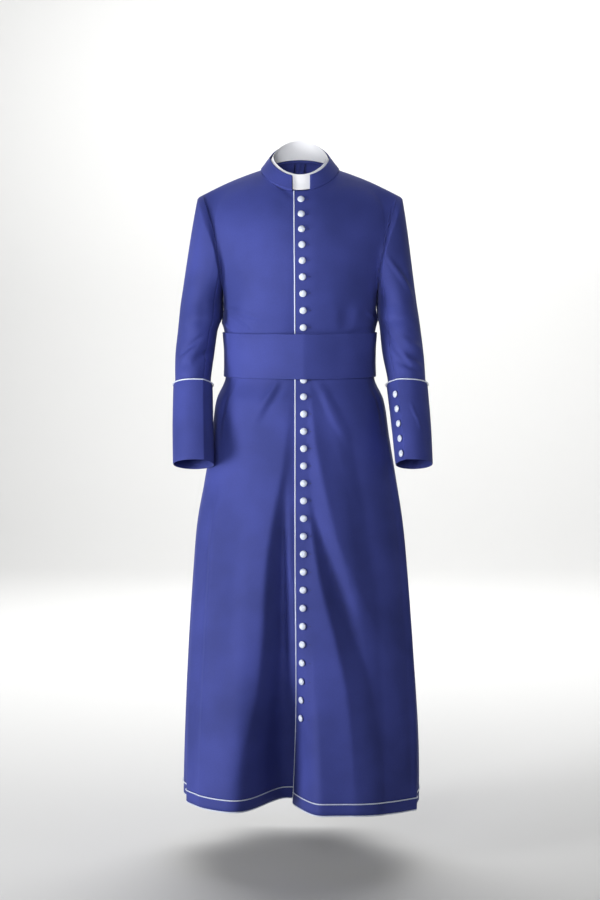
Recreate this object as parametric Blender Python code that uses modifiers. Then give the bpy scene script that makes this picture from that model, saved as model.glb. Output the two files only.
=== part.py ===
"""A worn cassock: a hollow buttoned coat to the ankles, with a stand collar, deep cuffs and a cincture.

The origin is where it hangs on the wearer: between the shoulders, at the height of the neck's sides.
The front faces -Y, +X is the wearer's left, and lengths are in metres.
"""
import math

import bmesh
import bpy
from mathutils import Matrix, Vector

# ---- driving dimensions -------------------------------------------------------------------------
CLOTH = 0.0018            # thickness of the wool cloth
SEAM_GAP = 0.0003         # between pieces that are sewn together
LAP = 0.0021              # the under front lies this far below the lapping front
LAP_SPARE = 1.75          # and by this much more where the flat facets cut the curve

HEM_RIGHT = -1.368        # height of the hem in front, on the wearer's right
HEM_LEFT = -1.376         # and on the wearer's left
HEM_BACK = -1.372         # and behind
HEM_LINE = 0.024          # the piped line lies this far above the hem's edge
YOKE = -0.300             # the panels are cut to sections below this height, and run to the shoulders above

SECTION_POWER = 2.15      # 2 would be an ellipse, more is squarer
# height, half width on the wearer's right, on the left, depth in front, depth behind,
# how far back the widest point lies, on the right, on the left
SECTIONS = (
    (-1.420, 0.2545, 0.2570, 0.203, 0.250, -0.050, -0.130),
    (-1.250, 0.2530, 0.2580, 0.192, 0.226, -0.040, -0.105),
    (-1.050, 0.2460, 0.2490, 0.175, 0.196, -0.030, -0.060),
    (-0.850, 0.2340, 0.2350, 0.158, 0.172, -0.015, -0.020),
    (-0.765, 0.2265, 0.2265, 0.150, 0.163, -0.006, -0.008),
    (-0.680, 0.2110, 0.2130, 0.141, 0.154, 0.000, 0.000),
    (-0.580, 0.1940, 0.1960, 0.132, 0.142, 0.005, 0.005),
    (-0.500, 0.1830, 0.1830, 0.128, 0.127, 0.008, 0.008),
    (-0.456, 0.1640, 0.1635, 0.1170, 0.103, 0.008, 0.008),
    (-0.400, 0.1605, 0.1600, 0.1155, 0.100, 0.008, 0.008),
    (-0.345, 0.1650, 0.1640, 0.1200, 0.104, 0.008, 0.008),
    (-0.270, 0.1680, 0.1680, 0.133, 0.121, 0.006, 0.006),
)

# where the lapping front's edge lies across the front: height, x
LAP_EDGE = (
    (-1.380, -0.0165),
    (-1.340, -0.0140),
    (-1.190, -0.0088),
    (-1.040, -0.0078),
    (-0.840, -0.0088),
    (-0.490, -0.0088),
    (-0.300, -0.0096),
    (-0.040, -0.0113),
)
UNDERLAP = 0.0255         # the under front runs on this far past the lap's edge

# The fold down the centre front, between the knees: height, how far back it pushes the lap's edge,
# width of the lapping side, how far the under front falls behind the lap
CENTRE_FOLD = (
    (-1.400, 0.100, 0.050, 0.022),
    (-1.300, 0.086, 0.047, 0.016),
    (-1.200, 0.062, 0.042, 0.009),
    (-1.100, 0.032, 0.036, 0.004),
    (-1.000, 0.012, 0.032, 0.0021),
    (-0.850, 0.003, 0.030, 0.0021),
    (-0.650, 0.000, 0.030, 0.0021),
)
UNDER_SIDE_WIDTH = 0.125  # the width over which the under side falls into that fold
UNDER_FALL_WIDTH = 0.10   # and over which it falls away behind the lap
UNDER_TUCK_WIDTH = 0.030  # it is tucked under the lap over this width

# Folds that hang from the waist. Angles go round from the centre front, + to the wearer's left.
# height of the top, height of the foot, angle at the top and at the foot, half width at the top and
# at the foot, how far it stands out at the foot
FOLDS = (
    (-0.480, -1.400, -14.0, -39.0, 9.0, 17.0, 0.020),     # right front: the ridge over the knee
    (-0.560, -1.200, -10.0, -12.0, 6.0, 12.0, -0.013),    # right front: the valley inside it
    (-0.520, -1.400, -72.0, -68.0, 7.0, 9.0, 0.006),      # right front: the edge of the side pleat
    (-0.520, -1.400, -86.0, -84.0, 6.0, 6.0, -0.014),     # right side: the recess behind the edge
    (-0.440, -1.300, 10.0, 25.0, 3.5, 8.0, -0.007),       # left front: the drag line from the waist
    (-0.470, -1.400, 17.0, 34.0, 7.0, 15.0, 0.010),       # left front: the ridge beside it
    (-0.520, -1.400, 84.0, 86.0, 6.0, 7.0, -0.014),       # left side: the recess of the side pleat
    (-0.560, -1.400, 112.0, 110.0, 12.0, 14.0, 0.012),    # left back
    (-0.500, -1.400, 137.0, 134.0, 8.0, 11.0, -0.034),
    (-0.500, -1.400, 160.0, 158.0, 9.0, 12.0, 0.016),
    (-0.520, -1.400, 180.0, 180.0, 6.0, 8.0, -0.020),     # centre back
    (-0.500, -1.400, -158.0, -160.0, 9.0, 12.0, 0.018),   # right back
    (-0.500, -1.400, -136.0, -135.0, 8.0, 11.0, -0.030),
    (-0.560, -1.400, -112.0, -111.0, 12.0, 14.0, 0.014),
)

NECK_SIDE = 0.084         # half width of the neckline
NECK_FRONT = (-0.078, -0.0475)   # y and z of the neckline in front
NECK_BACK = (0.068, 0.022)       # and behind
SHOULDER_POINT = (0.2125, 0.004, -0.0545)
SHOULDER_BOW = 0.0035     # the shoulder seam bows up by this much
# the armhole, from the shoulder point down the front, under the arm and up the back: x, y, z
ARMHOLE = (
    SHOULDER_POINT,
    (0.2040, -0.032, -0.082),
    (0.1885, -0.053, -0.135),
    (0.1765, -0.062, -0.190),
    (0.1695, -0.050, -0.238),
    (0.1675, 0.008, -0.266),
    (0.1730, 0.062, -0.236),
    (0.1800, 0.080, -0.185),
    (0.1930, 0.072, -0.120),
    (0.2060, 0.044, -0.078),
)
ARMHOLE_AXIS = (0.978, 0.0, -0.208)   # out of the left armhole
SLEEVE_SEAM = 0.0006      # the sleeve starts this far out of the armhole
UNDERARM = 5              # the row of ARMHOLE that meets the side seam

SIDE_SEAM = 96.0          # angle of the side seams
LAP_CROWDING = 1.3        # columns of the fronts stand closer together near the lap's edge
TIP_ANGLE = 46.0          # the column from the shoulder point passes the yoke height at this angle
NARROWING = 0.85          # the columns under the neckline draw together by this much down to the yoke height
NECK_COLUMNS, SHOULDER_COLUMNS, ARMHOLE_COLUMNS = 7, 6, 7
BACK_NECK_COLUMNS, BACK_SHOULDER_COLUMNS, BACK_ARMHOLE_COLUMNS = 4, 5, 6
YOKE_ROWS = 8
SETTLING = 0.25           # below the yoke height the columns spread out evenly over this height
SKIRT_CROWDING = 1.3      # rows stand closer together near the waist
SKIRT_ROWS = 16

# Sleeves: height of the ring's middle, outer x, inner x, middle y, half depth, tilt of the ring in degrees
SLEEVE_RINGS = {
    "right": (
        (-0.285, 0.2595, 0.1715, 0.006, 0.070, 0.0),
        (-0.345, 0.2660, 0.1790, 0.000, 0.066, 4.0),
        (-0.400, 0.2715, 0.1870, -0.012, 0.062, 9.0),
        (-0.450, 0.2715, 0.1935, -0.027, 0.0565, 14.0),
        (-0.486, 0.2695, 0.1945, -0.038, 0.0535, 15.0),
    ),
    "left": (
        (-0.285, 0.2540, 0.1715, 0.006, 0.070, 0.0),
        (-0.345, 0.2630, 0.1730, 0.000, 0.066, 4.0),
        (-0.400, 0.2695, 0.1800, -0.012, 0.062, 9.0),
        (-0.450, 0.2725, 0.1900, -0.027, 0.0565, 14.0),
        (-0.486, 0.2730, 0.1945, -0.038, 0.0535, 15.0),
    ),
}
CUFF_RINGS = {
    "right": (
        (-0.466, 0.2752, 0.1900, -0.032, 0.0590, 15.0),
        (-0.550, 0.2755, 0.1875, -0.063, 0.0575, 16.0),
        (-0.634, 0.2735, 0.1845, -0.092, 0.0565, 16.0),
    ),
    "left": (
        (-0.466, 0.2772, 0.1880, -0.032, 0.0590, 15.0),
        (-0.550, 0.2830, 0.1975, -0.062, 0.0575, 16.0),
        (-0.634, 0.2860, 0.2055, -0.090, 0.0565, 16.0),
    ),
}
SLEEVE_HEAD = 0.010       # the sleeve stands out this far from the shoulder before it falls
SLEEVE_CROWDING = 1.5     # the rows stand closer together at the sleeve's head
UPPER_SLEEVE_COLUMNS = 14
UNDER_SLEEVE_COLUMNS = 7
SLEEVE_ROWS = 14
# the share of the way round, from the outside of the arm by the front, where the under sleeve lies
UNDER_SLEEVE = (0.37, 0.68)
CUFF_COLUMNS = 24
CUFF_ROWS = 4

COLLAR_FRONT_TOP = (-0.066, -0.0180)   # y and z of the collar's top edge in front
COLLAR_SIDE_TOP = (0.0645, 0.0225)     # x and z at the sides
COLLAR_BACK_TOP = (0.058, 0.0600)      # y and z behind
COLLAR_NOTCH = (-0.0172, 0.0217)       # the notch in front lies between these, across
COLLAR_COLUMNS = 30
COLLAR_ROWS = 3
CLERICAL_RISE = 0.005     # the white collar stands this far above the blue one
CLERICAL_THICKNESS = 0.0012
CLERICAL_INSIDE = 0.0056  # its outer face lies this far inside the blue one's, which slopes
CLERICAL_LOWEST = 0.06    # share of the blue collar's height at which it starts

CINCTURE_TOP = -0.3525
CINCTURE_HEIGHT = 0.0965
CINCTURE_OFFSET = 0.0042  # outside of the cloth it lies on
CINCTURE_OVER_BUTTONS = 0.0085
CINCTURE_BUTTONS_WIDTH = 0.075
CINCTURE_COLUMNS = 40
CINCTURE_ROWS = 3

BUTTON_DIAMETER = 0.015
BUTTON_HEIGHT = 0.0058
BUTTON_SEGMENTS = 8
FRONT_BUTTONS = 31
# number of the button from the top, its height
BUTTON_HEIGHTS = (
    (0, -0.0680),
    (2, -0.1310),
    (5, -0.2315),
    (8, -0.3385),
    (11, -0.4510),
    (13, -0.5225),
    (20, -0.7820),
    (26, -1.0130),
    (30, -1.1760),
)
# height, x of the row of buttons
BUTTON_LINE = (
    (-1.180, 0.0040),
    (-1.000, 0.0062),
    (-0.800, 0.0075),
    (-0.340, 0.0068),
    (-0.060, 0.0018),
)
CUFF_BUTTONS = 5
CUFF_BUTTON_PITCH = 0.0310
CUFF_BUTTON_FIRST = 0.030     # below the cuff's top edge
CUFF_BUTTON_SHARE = {"left": 0.352, "right": 0.66}   # share of the way round from the outside

PIPING = 0.0026           # diameter
NAVY_WOOL = (0.063, 0.070, 0.340)
WHITE_SATIN = (0.80, 0.81, 0.90)
WHITE_LINEN = (0.84, 0.84, 0.86)


# ---- a clean scene ------------------------------------------------------------------------------
for old in list(bpy.data.objects):
    bpy.data.objects.remove(old, do_unlink=True)

cassock = bpy.data.collections.new("cassock")
bpy.context.scene.collection.children.link(cassock)


def make_material(name, colour, roughness):
    """A plain cloth material"""
    material = bpy.data.materials.new(name)
    material.use_nodes = True
    shader = material.node_tree.nodes["Principled BSDF"]
    shader.inputs["Base Color"].default_value = (*colour, 1.0)
    shader.inputs["Roughness"].default_value = roughness
    shader.inputs["Metallic"].default_value = 0.0
    return material


# ---- small sums ---------------------------------------------------------------------------------
def smooth_rows(rows, place):
    """The columns of a table at one place, on a smooth curve through its rows"""
    rows = sorted(rows)
    place = min(max(place, rows[0][0]), rows[-1][0])
    after = next(i for i in range(1, len(rows)) if place <= rows[i][0])
    before = after - 1

    def slope(i, column):
        low, high = rows[max(i - 1, 0)], rows[min(i + 1, len(rows) - 1)]
        return (high[column] - low[column]) / (high[0] - low[0])

    span = rows[after][0] - rows[before][0]
    t = (place - rows[before][0]) / span
    values = []
    for column in range(1, len(rows[0])):
        a, b = rows[before][column], rows[after][column]
        slope_a, slope_b = slope(before, column) * span, slope(after, column) * span
        values.append(hermite(a, b, slope_a, slope_b, t))
    return values


def hermite(a, b, leaving, arriving, t):
    """A cubic from a to b with the given slopes at its ends"""
    t2, t3 = t * t, t * t * t
    return (a * (2 * t3 - 3 * t2 + 1) + leaving * (t3 - 2 * t2 + t)
            + b * (3 * t2 - 2 * t3) + arriving * (t3 - t2))


def ease(t):
    """0 below 0, 1 above 1, and smooth between"""
    t = min(max(t, 0.0), 1.0)
    return t * t * (3.0 - 2.0 * t)


def mix(a, b, t):
    return a + (b - a) * t


def power(value, exponent):
    """A power that keeps the sign"""
    return math.copysign(abs(value) ** exponent, value)


# ---- the body's surface -------------------------------------------------------------------------
def hem_height(angle):
    """The hem's height round the body: the two fronts end at their own heights"""
    front = HEM_LEFT if angle > 0 else HEM_RIGHT
    return mix(front, HEM_BACK, ease(abs(angle) / 180.0))


def section_point(angle, height):
    """A point of the plain body section at an angle, with the direction out of it"""
    half_right, half_left, front, back, side_right, side_left = smooth_rows(SECTIONS, height)
    turn = math.radians(angle)
    sine, cosine = math.sin(turn), math.cos(turn)
    half, side = (half_left, side_left) if sine > 0 else (half_right, side_right)
    depth = front + side if cosine > 0 else back - side
    bend = 2.0 / SECTION_POWER
    x = half * power(sine, bend)
    y = side - depth * power(cosine, bend)
    outward = Vector((x / half ** 2, (y - side) / depth ** 2, 0.0))
    return Vector((x, y, height)), outward.normalized()


def angle_at(x, height):
    """The angle of the section's point at an x, on the front"""
    half_right, half_left = smooth_rows(SECTIONS, height)[:2]
    half = half_left if x > 0 else half_right
    share = min(abs(x) / half, 1.0)
    return math.copysign(math.degrees(math.asin(share ** (SECTION_POWER / 2.0))), x)


def fold_depth(angle, height):
    """How far the hanging folds push the surface out"""
    total = 0.0
    for top, foot, angle_top, angle_foot, width_top, width_foot, depth in FOLDS:
        way = (top - height) / (top - foot)
        if way <= 0.0:
            continue
        way = min(way, 1.0)
        away = angle - mix(angle_top, angle_foot, way)
        away = abs((away + 180.0) % 360.0 - 180.0) / (2.0 * mix(width_top, width_foot, way))
        total += depth * way ** 1.2 * (1.0 - ease(away))
    return total


def centre_fold(x, height, under):
    """How far back the fold between the knees pushes the point at x"""
    depth, lap_width, fall = smooth_rows(CENTRE_FOLD, height)
    away = x - lap_edge(height)
    if under:
        inside = -away / UNDER_SIDE_WIDTH
        return depth * (1.0 - ease(inside))
    if away > 0.0:
        return depth * (1.0 - min(away / lap_width, 1.0)) ** 1.3
    return depth


def lap_edge(height):
    return smooth_rows(LAP_EDGE, height)[0]


def body_point(angle, height, under):
    """A point of the folded surface at or below the yoke height"""
    point, outward = section_point(angle, height)
    point += outward * fold_depth(angle, height)
    if abs(angle) < 90.0:
        point.y += centre_fold(point.x, height, under)
    return point


# ---- from the yoke height up to the neck, the shoulder seam and the armhole ---------------------
def neckline(turn):
    """The neckline, from the centre front (0 degrees) to the centre back (180)"""
    sine, cosine = math.sin(math.radians(turn)), math.cos(math.radians(turn))
    y, z = NECK_FRONT if cosine > 0 else NECK_BACK
    return Vector((NECK_SIDE * sine, y * abs(cosine), z * abs(cosine) ** 1.3))


def armhole(share, side):
    """The armhole's loop: 0 and 1 at the shoulder point, going down the front"""
    rows = [Vector(row) for row in ARMHOLE]
    count = len(rows)
    place = (share % 1.0) * count
    i = int(place)
    before, a, b, after = (rows[(i + k) % count] for k in (-1, 0, 1, 2))
    point = hermite(a, b, (b - before) / 2.0, (after - a) / 2.0, place - i)
    point.x *= side
    return point


def upper_edge(column, counts, back, side, first_turn):
    """Where a column ends at the top, and the direction and strength with which it arrives there"""
    neck, shoulder, hole = counts
    tip = Vector((side * SHOULDER_POINT[0], SHOULDER_POINT[1], SHOULDER_POINT[2]))
    over = -1.0 if back else 1.0
    if column <= neck:
        turn = mix(first_turn, 90.0, column / neck if back else power(column / neck, LAP_CROWDING))
        place = neckline(side * turn)
        beside = math.sin(math.radians(turn)) ** 2
        arrive = Vector((0.0, over * mix(0.60, 0.92, beside), mix(0.80, 0.30, beside)))
        strength = 0.9
    elif column <= neck + shoulder:
        way = (column - neck) / shoulder
        place = mix(neckline(side * 90.0), tip, way)
        place.z += SHOULDER_BOW * math.sin(math.pi * way)
        arrive = Vector((side * 0.15 * way, over * 0.92, mix(0.30, 0.20, way)))
        strength = mix(0.9, 0.85, way)
    else:
        way = (column - neck - shoulder) / hole
        half = UNDERARM / len(ARMHOLE)
        share = 1.0 - (1.0 - half) * way if back else half * way
        place = armhole(share, side)
        start = Vector((side * 0.45, over * 0.75, 0.30))
        pitch = Vector((side * 0.65, over * 0.45, 0.55))
        low = Vector((side * 0.05, 0.0, 1.0))
        arrive = mix(start, pitch, ease(way * 2.0)) if way < 0.5 else mix(pitch, low, ease(way * 2.0 - 1.0))
        strength = mix(0.85, 0.40, ease(way * 1.6))
    return place, arrive.normalized() * strength


def yoke_point(low, rise, place, arrive, way):
    """A point on a column between its top (0) and the yoke height (1)"""
    length = (place - low).length
    return hermite(low, place, rise * length, arrive * length, 1.0 - way)


class Panel:
    """One cut piece of the body, as a surface over its columns (u) and rows (v), both 0 to 1"""

    def __init__(self, side, back, counts, under=False):
        self.side = side
        self.back = back
        self.counts = counts
        self.under = under
        self.columns = sum(counts)
        self.yoke = 0.3
        hem_line = self.place(1.0 - HEM_LINE / (YOKE - HEM_BACK))
        self.levels = [self.yoke * j / YOKE_ROWS for j in range(YOKE_ROWS)]
        self.levels += [mix(self.yoke, hem_line, j / SKIRT_ROWS) for j in range(SKIRT_ROWS + 1)]
        self.levels += [self.place((YOKE - CINCTURE_TOP + CINCTURE_HEIGHT) / (YOKE - HEM_BACK)), 1.0]
        self.levels.sort()

    def place(self, way):
        """The v of a share of the way from the yoke height down to the hem"""
        return self.yoke + (1.0 - self.yoke) * way ** (1.0 / SKIRT_CROWDING)

    def first_turn(self):
        """Where the neckline starts, in degrees from the centre front"""
        if self.back:
            return 180.0
        edge = lap_edge(YOKE)
        x = -(edge + UNDERLAP) if self.under else edge
        return math.degrees(math.asin(x / NARROWING / NECK_SIDE))

    def yoke_angle(self, u, even=False):
        """The angle round the body at which a column passes the yoke height, or is evenly spaced below"""
        neck = self.counts[0] / self.columns
        if self.back:
            return mix(180.0, SIDE_SEAM, u)
        turn = math.radians(mix(self.first_turn(), 90.0, power(min(u / neck, 1.0), LAP_CROWDING)))
        angle = self.side * angle_at(self.side * NARROWING * NECK_SIDE * math.sin(turn), YOKE)
        if even:
            return mix(angle, SIDE_SEAM, max(u - neck, 0.0) / (1.0 - neck))
        tip = neck + self.counts[1] / self.columns
        angle = mix(angle, TIP_ANGLE, min(max(u - neck, 0.0) / (tip - neck), 1.0))
        return mix(angle, SIDE_SEAM, max(u - tip, 0.0) / (1.0 - tip))

    def angle(self, u, height):
        """The angle round the body of a column at a height"""
        angle = mix(self.yoke_angle(u), self.yoke_angle(u, True), ease((YOKE - height) / SETTLING))
        if not self.back:
            x = lap_edge(height) + (UNDERLAP if self.under else 0.0)
            shift = self.side * angle_at(x, height) - self.yoke_angle(0.0)
            angle += shift * (SIDE_SEAM - angle) / (SIDE_SEAM - self.yoke_angle(0.0))
        return self.side * angle

    def plain(self, u, v):
        """A point of the surface before the under front is sunk below the lap"""
        if v <= self.yoke:
            angle = self.angle(u, YOKE)
            low = body_point(angle, YOKE, self.under)
            rise = body_point(angle, YOKE + 0.01, self.under) - low
            place, arrive = upper_edge(u * self.columns, self.counts, self.back, self.side, self.first_turn())
            return yoke_point(low, rise.normalized(), place, arrive, v / self.yoke)
        way = ((v - self.yoke) / (1.0 - self.yoke)) ** SKIRT_CROWDING
        rough = mix(YOKE, HEM_BACK, way)
        height = mix(YOKE, hem_height(self.angle(u, rough)), way)
        return body_point(self.angle(u, height), height, self.under)

    def normal(self, u, v):
        """The direction out of the cloth"""
        step = 0.004
        across = self.plain(u + step, v) - self.plain(u - step, v)
        down = self.plain(u, min(v + step, 1.0)) - self.plain(u, v - step)
        return (down.cross(across) * (self.side * (-1.0 if self.back else 1.0))).normalized()

    def point(self, u, v, out=0.0):
        """A point at a distance outside the cloth's outer face"""
        place = self.plain(u, v)
        if self.under:
            fall = smooth_rows(CENTRE_FOLD, place.z)[2] if place.z < YOKE else LAP
            past = lap_edge(place.z) - place.x
            place.y += max(fall - LAP, 0.0) * ease(1.0 - past / UNDER_FALL_WIDTH)
            out -= LAP * LAP_SPARE * ease(1.0 - past / UNDER_TUCK_WIDTH)
        return place + self.normal(u, v) * out

    def find(self, x, height):
        """The u and v of the surface's point at an x and a height"""
        u, v = 0.1, self.yoke * 0.6 if height > YOKE else self.place((YOKE - height) / (YOKE - HEM_BACK))
        for _ in range(12):
            here = self.plain(u, v)
            step = 0.002
            by_u = (self.plain(u + step, v) - here) / step
            by_v = (self.plain(u, v + step) - here) / step
            miss_x, miss_z = x - here.x, height - here.z
            scale = by_u.x * by_v.z - by_v.x * by_u.z
            u += (miss_x * by_v.z - miss_z * by_v.x) / scale
            v += (by_u.x * miss_z - by_u.z * miss_x) / scale
            u, v = min(max(u, 0.0), 0.99), min(max(v, 0.0), 0.99)
        return u, v

    def grid(self):
        """The rows of points of the outer face"""
        return [[self.point(i / self.columns, v) for i in range(self.columns + 1)] for v in self.levels]

    def on_facet(self, u, v, out):
        """A point at a distance outside the flat facets of the grid, whichever way they are split"""
        i = min(int(u * self.columns + 1e-6), self.columns - 1)
        j = max(k for k, level in enumerate(self.levels[:-1]) if level <= v + 1e-6)
        across = u * self.columns - i
        down = (v - self.levels[j]) / (self.levels[j + 1] - self.levels[j])
        (a, b), (c, d) = [[self.point((i + k) / self.columns, self.levels[j + m]) for k in (0, 1)]
                          for m in (0, 1)]
        if across > down:
            one_way = a + (b - a) * across + (d - b) * down
        else:
            one_way = a + (c - a) * down + (d - c) * across
        if across + down < 1.0:
            other_way = a + (b - a) * across + (c - a) * down
        else:
            other_way = d + (c - d) * (1.0 - across) + (b - d) * (1.0 - down)
        outward = self.normal(u, v)
        return max(one_way, other_way, key=outward.dot) + outward * out


HALF_GAP = SEAM_GAP / 2.0
LEAN = 1.3                # allowance for the wall's lean over a seam, in thicknesses of the cloth
SHOULDER_SPARE = 0.0006   # more room at the shoulder seam, which bends down at its outer end
SLEEVE_SPARE = 0.0004     # more room at the sleeve's seams, which turn sharply at the armhole
BUTTON_SPARE = 0.0005     # under a button where the cloth bends toward it


# ---- meshes -------------------------------------------------------------------------------------
def draw_in(edge, beside, outside, spacings, across=None):
    """Draw an edge in along the cloth, so that its wall stays clear of the piece sewn to it

    Where the cloth bends over a seam, the wall's inner face leans past it, and the edge is drawn in by as much.
    across holds the direction over the seam at each point, where it isn't square to the edge.
    """
    drawn = []
    for i, (point, inner, out, spacing) in enumerate(zip(edge, beside, outside, spacings)):
        line = edge[min(i + 1, len(edge) - 1)] - edge[max(i - 1, 0)]
        away = (point - inner).normalized()
        face = line.cross(away).normalized()
        if face.dot(out) < 0.0:
            face = -face
        past, slant = line.cross(out).normalized(), 1.0
        if across:
            past = across[i]
        else:
            past = past if past.dot(away) > 0.0 else -past
            slant = max(past.dot(away), 0.5)
        drawn.append(point - away * (spacing + LEAN * CLOTH * max(-face.dot(past), 0.0)) / slant)
    return drawn


def sew(grid, surface, top, across_top, first=None, last=None):
    """Draw a grid's edges in at its seams, by spacings along its top and one at its first and last columns"""
    columns = len(grid[0]) - 1
    for spacing, here, next_to in ((first, 0, 1), (last, -1, -2)):
        if spacing is not None:
            edge, beside = [row[here] for row in grid], [row[next_to] for row in grid]
            outside = [surface.normal(0.0 if here == 0 else 1.0, v) for v in surface.levels]
            for row, point in zip(grid, draw_in(edge, beside, outside, [spacing] * len(edge))):
                row[here] = point
    outside = [surface.normal(i / columns, 0.0) for i in range(columns + 1)]
    grid[0] = draw_in(grid[0], grid[1], outside, top, across_top)
    return grid


def add_object(name, mesh, material):
    thing = bpy.data.objects.new(name, mesh)
    thing.data.materials.append(material)
    cassock.objects.link(thing)
    return thing


def cloth_piece(name, grid, material, closed=False, thickness=CLOTH, outward=None):
    """An open surface through the rows of points, made solid inwards"""
    build = bmesh.new()
    rows = [[build.verts.new(point) for point in row] for row in grid]
    width = len(grid[0])
    for upper, lower in zip(rows, rows[1:]):
        for i in range(width if closed else width - 1):
            after = (i + 1) % width
            build.faces.new((upper[i], lower[i], lower[after], upper[after]))
    build.normal_update()
    first = build.faces[:][0]
    if outward is not None and first.normal.dot(outward) < 0.0:
        bmesh.ops.reverse_faces(build, faces=build.faces[:])
    mesh = bpy.data.meshes.new(name)
    build.to_mesh(mesh)
    build.free()
    mesh.shade_smooth()
    piece = add_object(name, mesh, material)
    solid = piece.modifiers.new("cloth", "SOLIDIFY")
    solid.thickness = thickness
    solid.offset = -1.0
    solid.use_rim = True
    return piece


def piping(name, points, material, closed=False, diameter=PIPING):
    """A covered cord sewn along a line"""
    curve = bpy.data.curves.new(name, "CURVE")
    curve.dimensions = "3D"
    curve.bevel_depth = diameter / 2.0
    curve.bevel_resolution = 0
    curve.use_fill_caps = True
    spline = curve.splines.new("POLY")
    spline.points.add(len(points) - 1)
    for knot, point in zip(spline.points, points):
        knot.co = (*point, 1.0)
    spline.use_cyclic_u = closed
    return add_object(name, curve, material)


def button_mesh(name):
    """A covered button: a dome that turns under to a flat back"""
    profile = (
        (0.00, 0.00), (0.42, 0.00), (0.50, 0.30), (0.36, 0.80), (0.00, 1.00),
    )
    build = bmesh.new()
    spun = [build.verts.new((share * BUTTON_DIAMETER, 0.0, rise * BUTTON_HEIGHT)) for share, rise in profile]
    edges = [build.edges.new(pair) for pair in zip(spun, spun[1:])]
    bmesh.ops.spin(build, geom=spun + edges, cent=(0, 0, 0), axis=(0, 0, 1),
                   angle=math.tau, steps=BUTTON_SEGMENTS, use_merge=True)
    bmesh.ops.remove_doubles(build, verts=build.verts[:], dist=1e-5)
    bmesh.ops.recalc_face_normals(build, faces=build.faces[:])
    mesh = bpy.data.meshes.new(name)
    build.to_mesh(mesh)
    build.free()
    mesh.shade_smooth()
    return mesh


def place_button(name, mesh, point, outward, material):
    """A button on the cloth at a point, facing outward"""
    button = bpy.data.objects.new(name, mesh)
    turn = outward.to_track_quat("Z", "Y").to_matrix().to_4x4()
    button.matrix_world = Matrix.Translation(point + outward * SEAM_GAP) @ turn
    if not mesh.materials:
        mesh.materials.append(material)
    cassock.objects.link(button)
    return button


# ---- the four body panels -----------------------------------------------------------------------
wool = make_material("blue_wool", NAVY_WOOL, 0.75)
satin = make_material("white_satin", WHITE_SATIN, 0.45)
linen = make_material("white_linen", WHITE_LINEN, 0.55)

FRONT_COUNTS = (NECK_COLUMNS, SHOULDER_COLUMNS, ARMHOLE_COLUMNS)
BACK_COUNTS = (BACK_NECK_COLUMNS, BACK_SHOULDER_COLUMNS, BACK_ARMHOLE_COLUMNS)
front_left = Panel(1, False, FRONT_COUNTS)
front_right = Panel(-1, False, FRONT_COUNTS, under=True)
back_left = Panel(1, True, BACK_COUNTS)
back_right = Panel(-1, True, BACK_COUNTS)

for name, panel in (("front_left", front_left), ("front_right", front_right),
                    ("back_left", back_left), ("back_right", back_right)):
    into_sleeve = Vector((panel.side * ARMHOLE_AXIS[0], 0.0, ARMHOLE_AXIS[2]))
    over_shoulder = Vector((0.0, -1.0 if panel.back else 1.0, 0.0))
    at_tip = (over_shoulder + into_sleeve).normalized()
    neck, shoulder, hole = panel.counts
    outer = sew(panel.grid(), panel,
                [HALF_GAP] * neck + [HALF_GAP + SHOULDER_SPARE] * (shoulder + 1) + [HALF_GAP] * hole,
                [over_shoulder] * (neck + shoulder) + [at_tip] + [into_sleeve] * hole,
                first=HALF_GAP if panel.back else None, last=HALF_GAP)
    cloth_piece(name, outer, wool, outward=panel.normal(0.02, 0.02))


# ---- sleeves and cuffs --------------------------------------------------------------------------
def ring_point(ring, share, side):
    """A point of a sleeve's ring: share 0 on the outside of the arm, 0.25 in front"""
    height, outer, inner, middle, depth, tilt = ring
    turn = math.tau * share
    across = (outer - inner) / 2.0 * math.cos(turn)
    ahead = depth * math.sin(turn)
    lean = math.radians(tilt)
    return Vector((side * ((outer + inner) / 2.0 + across),
                   middle - ahead * math.cos(lean),
                   height + ahead * math.sin(lean)))


def sleeve_stations(share, side, rings):
    """The points that one line down the sleeve runs through, from the armhole"""
    start = armhole(share, side) + Vector((side * ARMHOLE_AXIS[0], 0.0, ARMHOLE_AXIS[2])) * SLEEVE_SEAM
    top = max(math.cos(math.tau * share), 0.0)
    front_back = abs(math.sin(math.tau * share))
    out = Vector((side * (SLEEVE_HEAD * top + 0.004 * front_back), 0.0, -0.010 * top - 0.006 * front_back))
    out.y = -0.006 * math.sin(math.tau * share)
    stations = [start]
    if top > 0.05 or front_back > 0.3:
        stations.append(start + out)
    stations += [ring_point(ring, share, side) for ring in rings]
    return stations


def along(stations, way):
    """A point on a smooth curve through the stations, by its share of the length"""
    lengths = [0.0]
    for a, b in zip(stations, stations[1:]):
        lengths.append(lengths[-1] + (b - a).length)
    rows = [(length, *point) for length, point in zip(lengths, stations)]
    return Vector(smooth_rows(rows, way * lengths[-1]))


class Sleeve:
    """One cut piece of a sleeve, between two shares of the way round the arm"""

    def __init__(self, word, first, last):
        self.side = 1 if word == "left" else -1
        self.rings = SLEEVE_RINGS[word]
        self.first = first
        self.last = last
        self.levels = [j / SLEEVE_ROWS for j in range(SLEEVE_ROWS + 1)]

    def plain(self, u, v):
        """A point of the outer face: v is 0 at the armhole and 1 inside the cuff"""
        stations = sleeve_stations(mix(self.first, self.last, u), self.side, self.rings)
        return along(stations, max(v, 0.0) ** SLEEVE_CROWDING)

    def normal(self, u, v):
        """The direction out of the cloth"""
        step = 0.004
        across = self.plain(u + step, v) - self.plain(u - step, v)
        down = self.plain(u, min(v + step, 1.0)) - self.plain(u, max(v - step, 0.0))
        return (across.cross(down) * self.side).normalized()

    def grid(self, columns):
        """The rows of points of the outer face"""
        return [[self.plain(i / columns, v) for i in range(columns + 1)] for v in self.levels]


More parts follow.
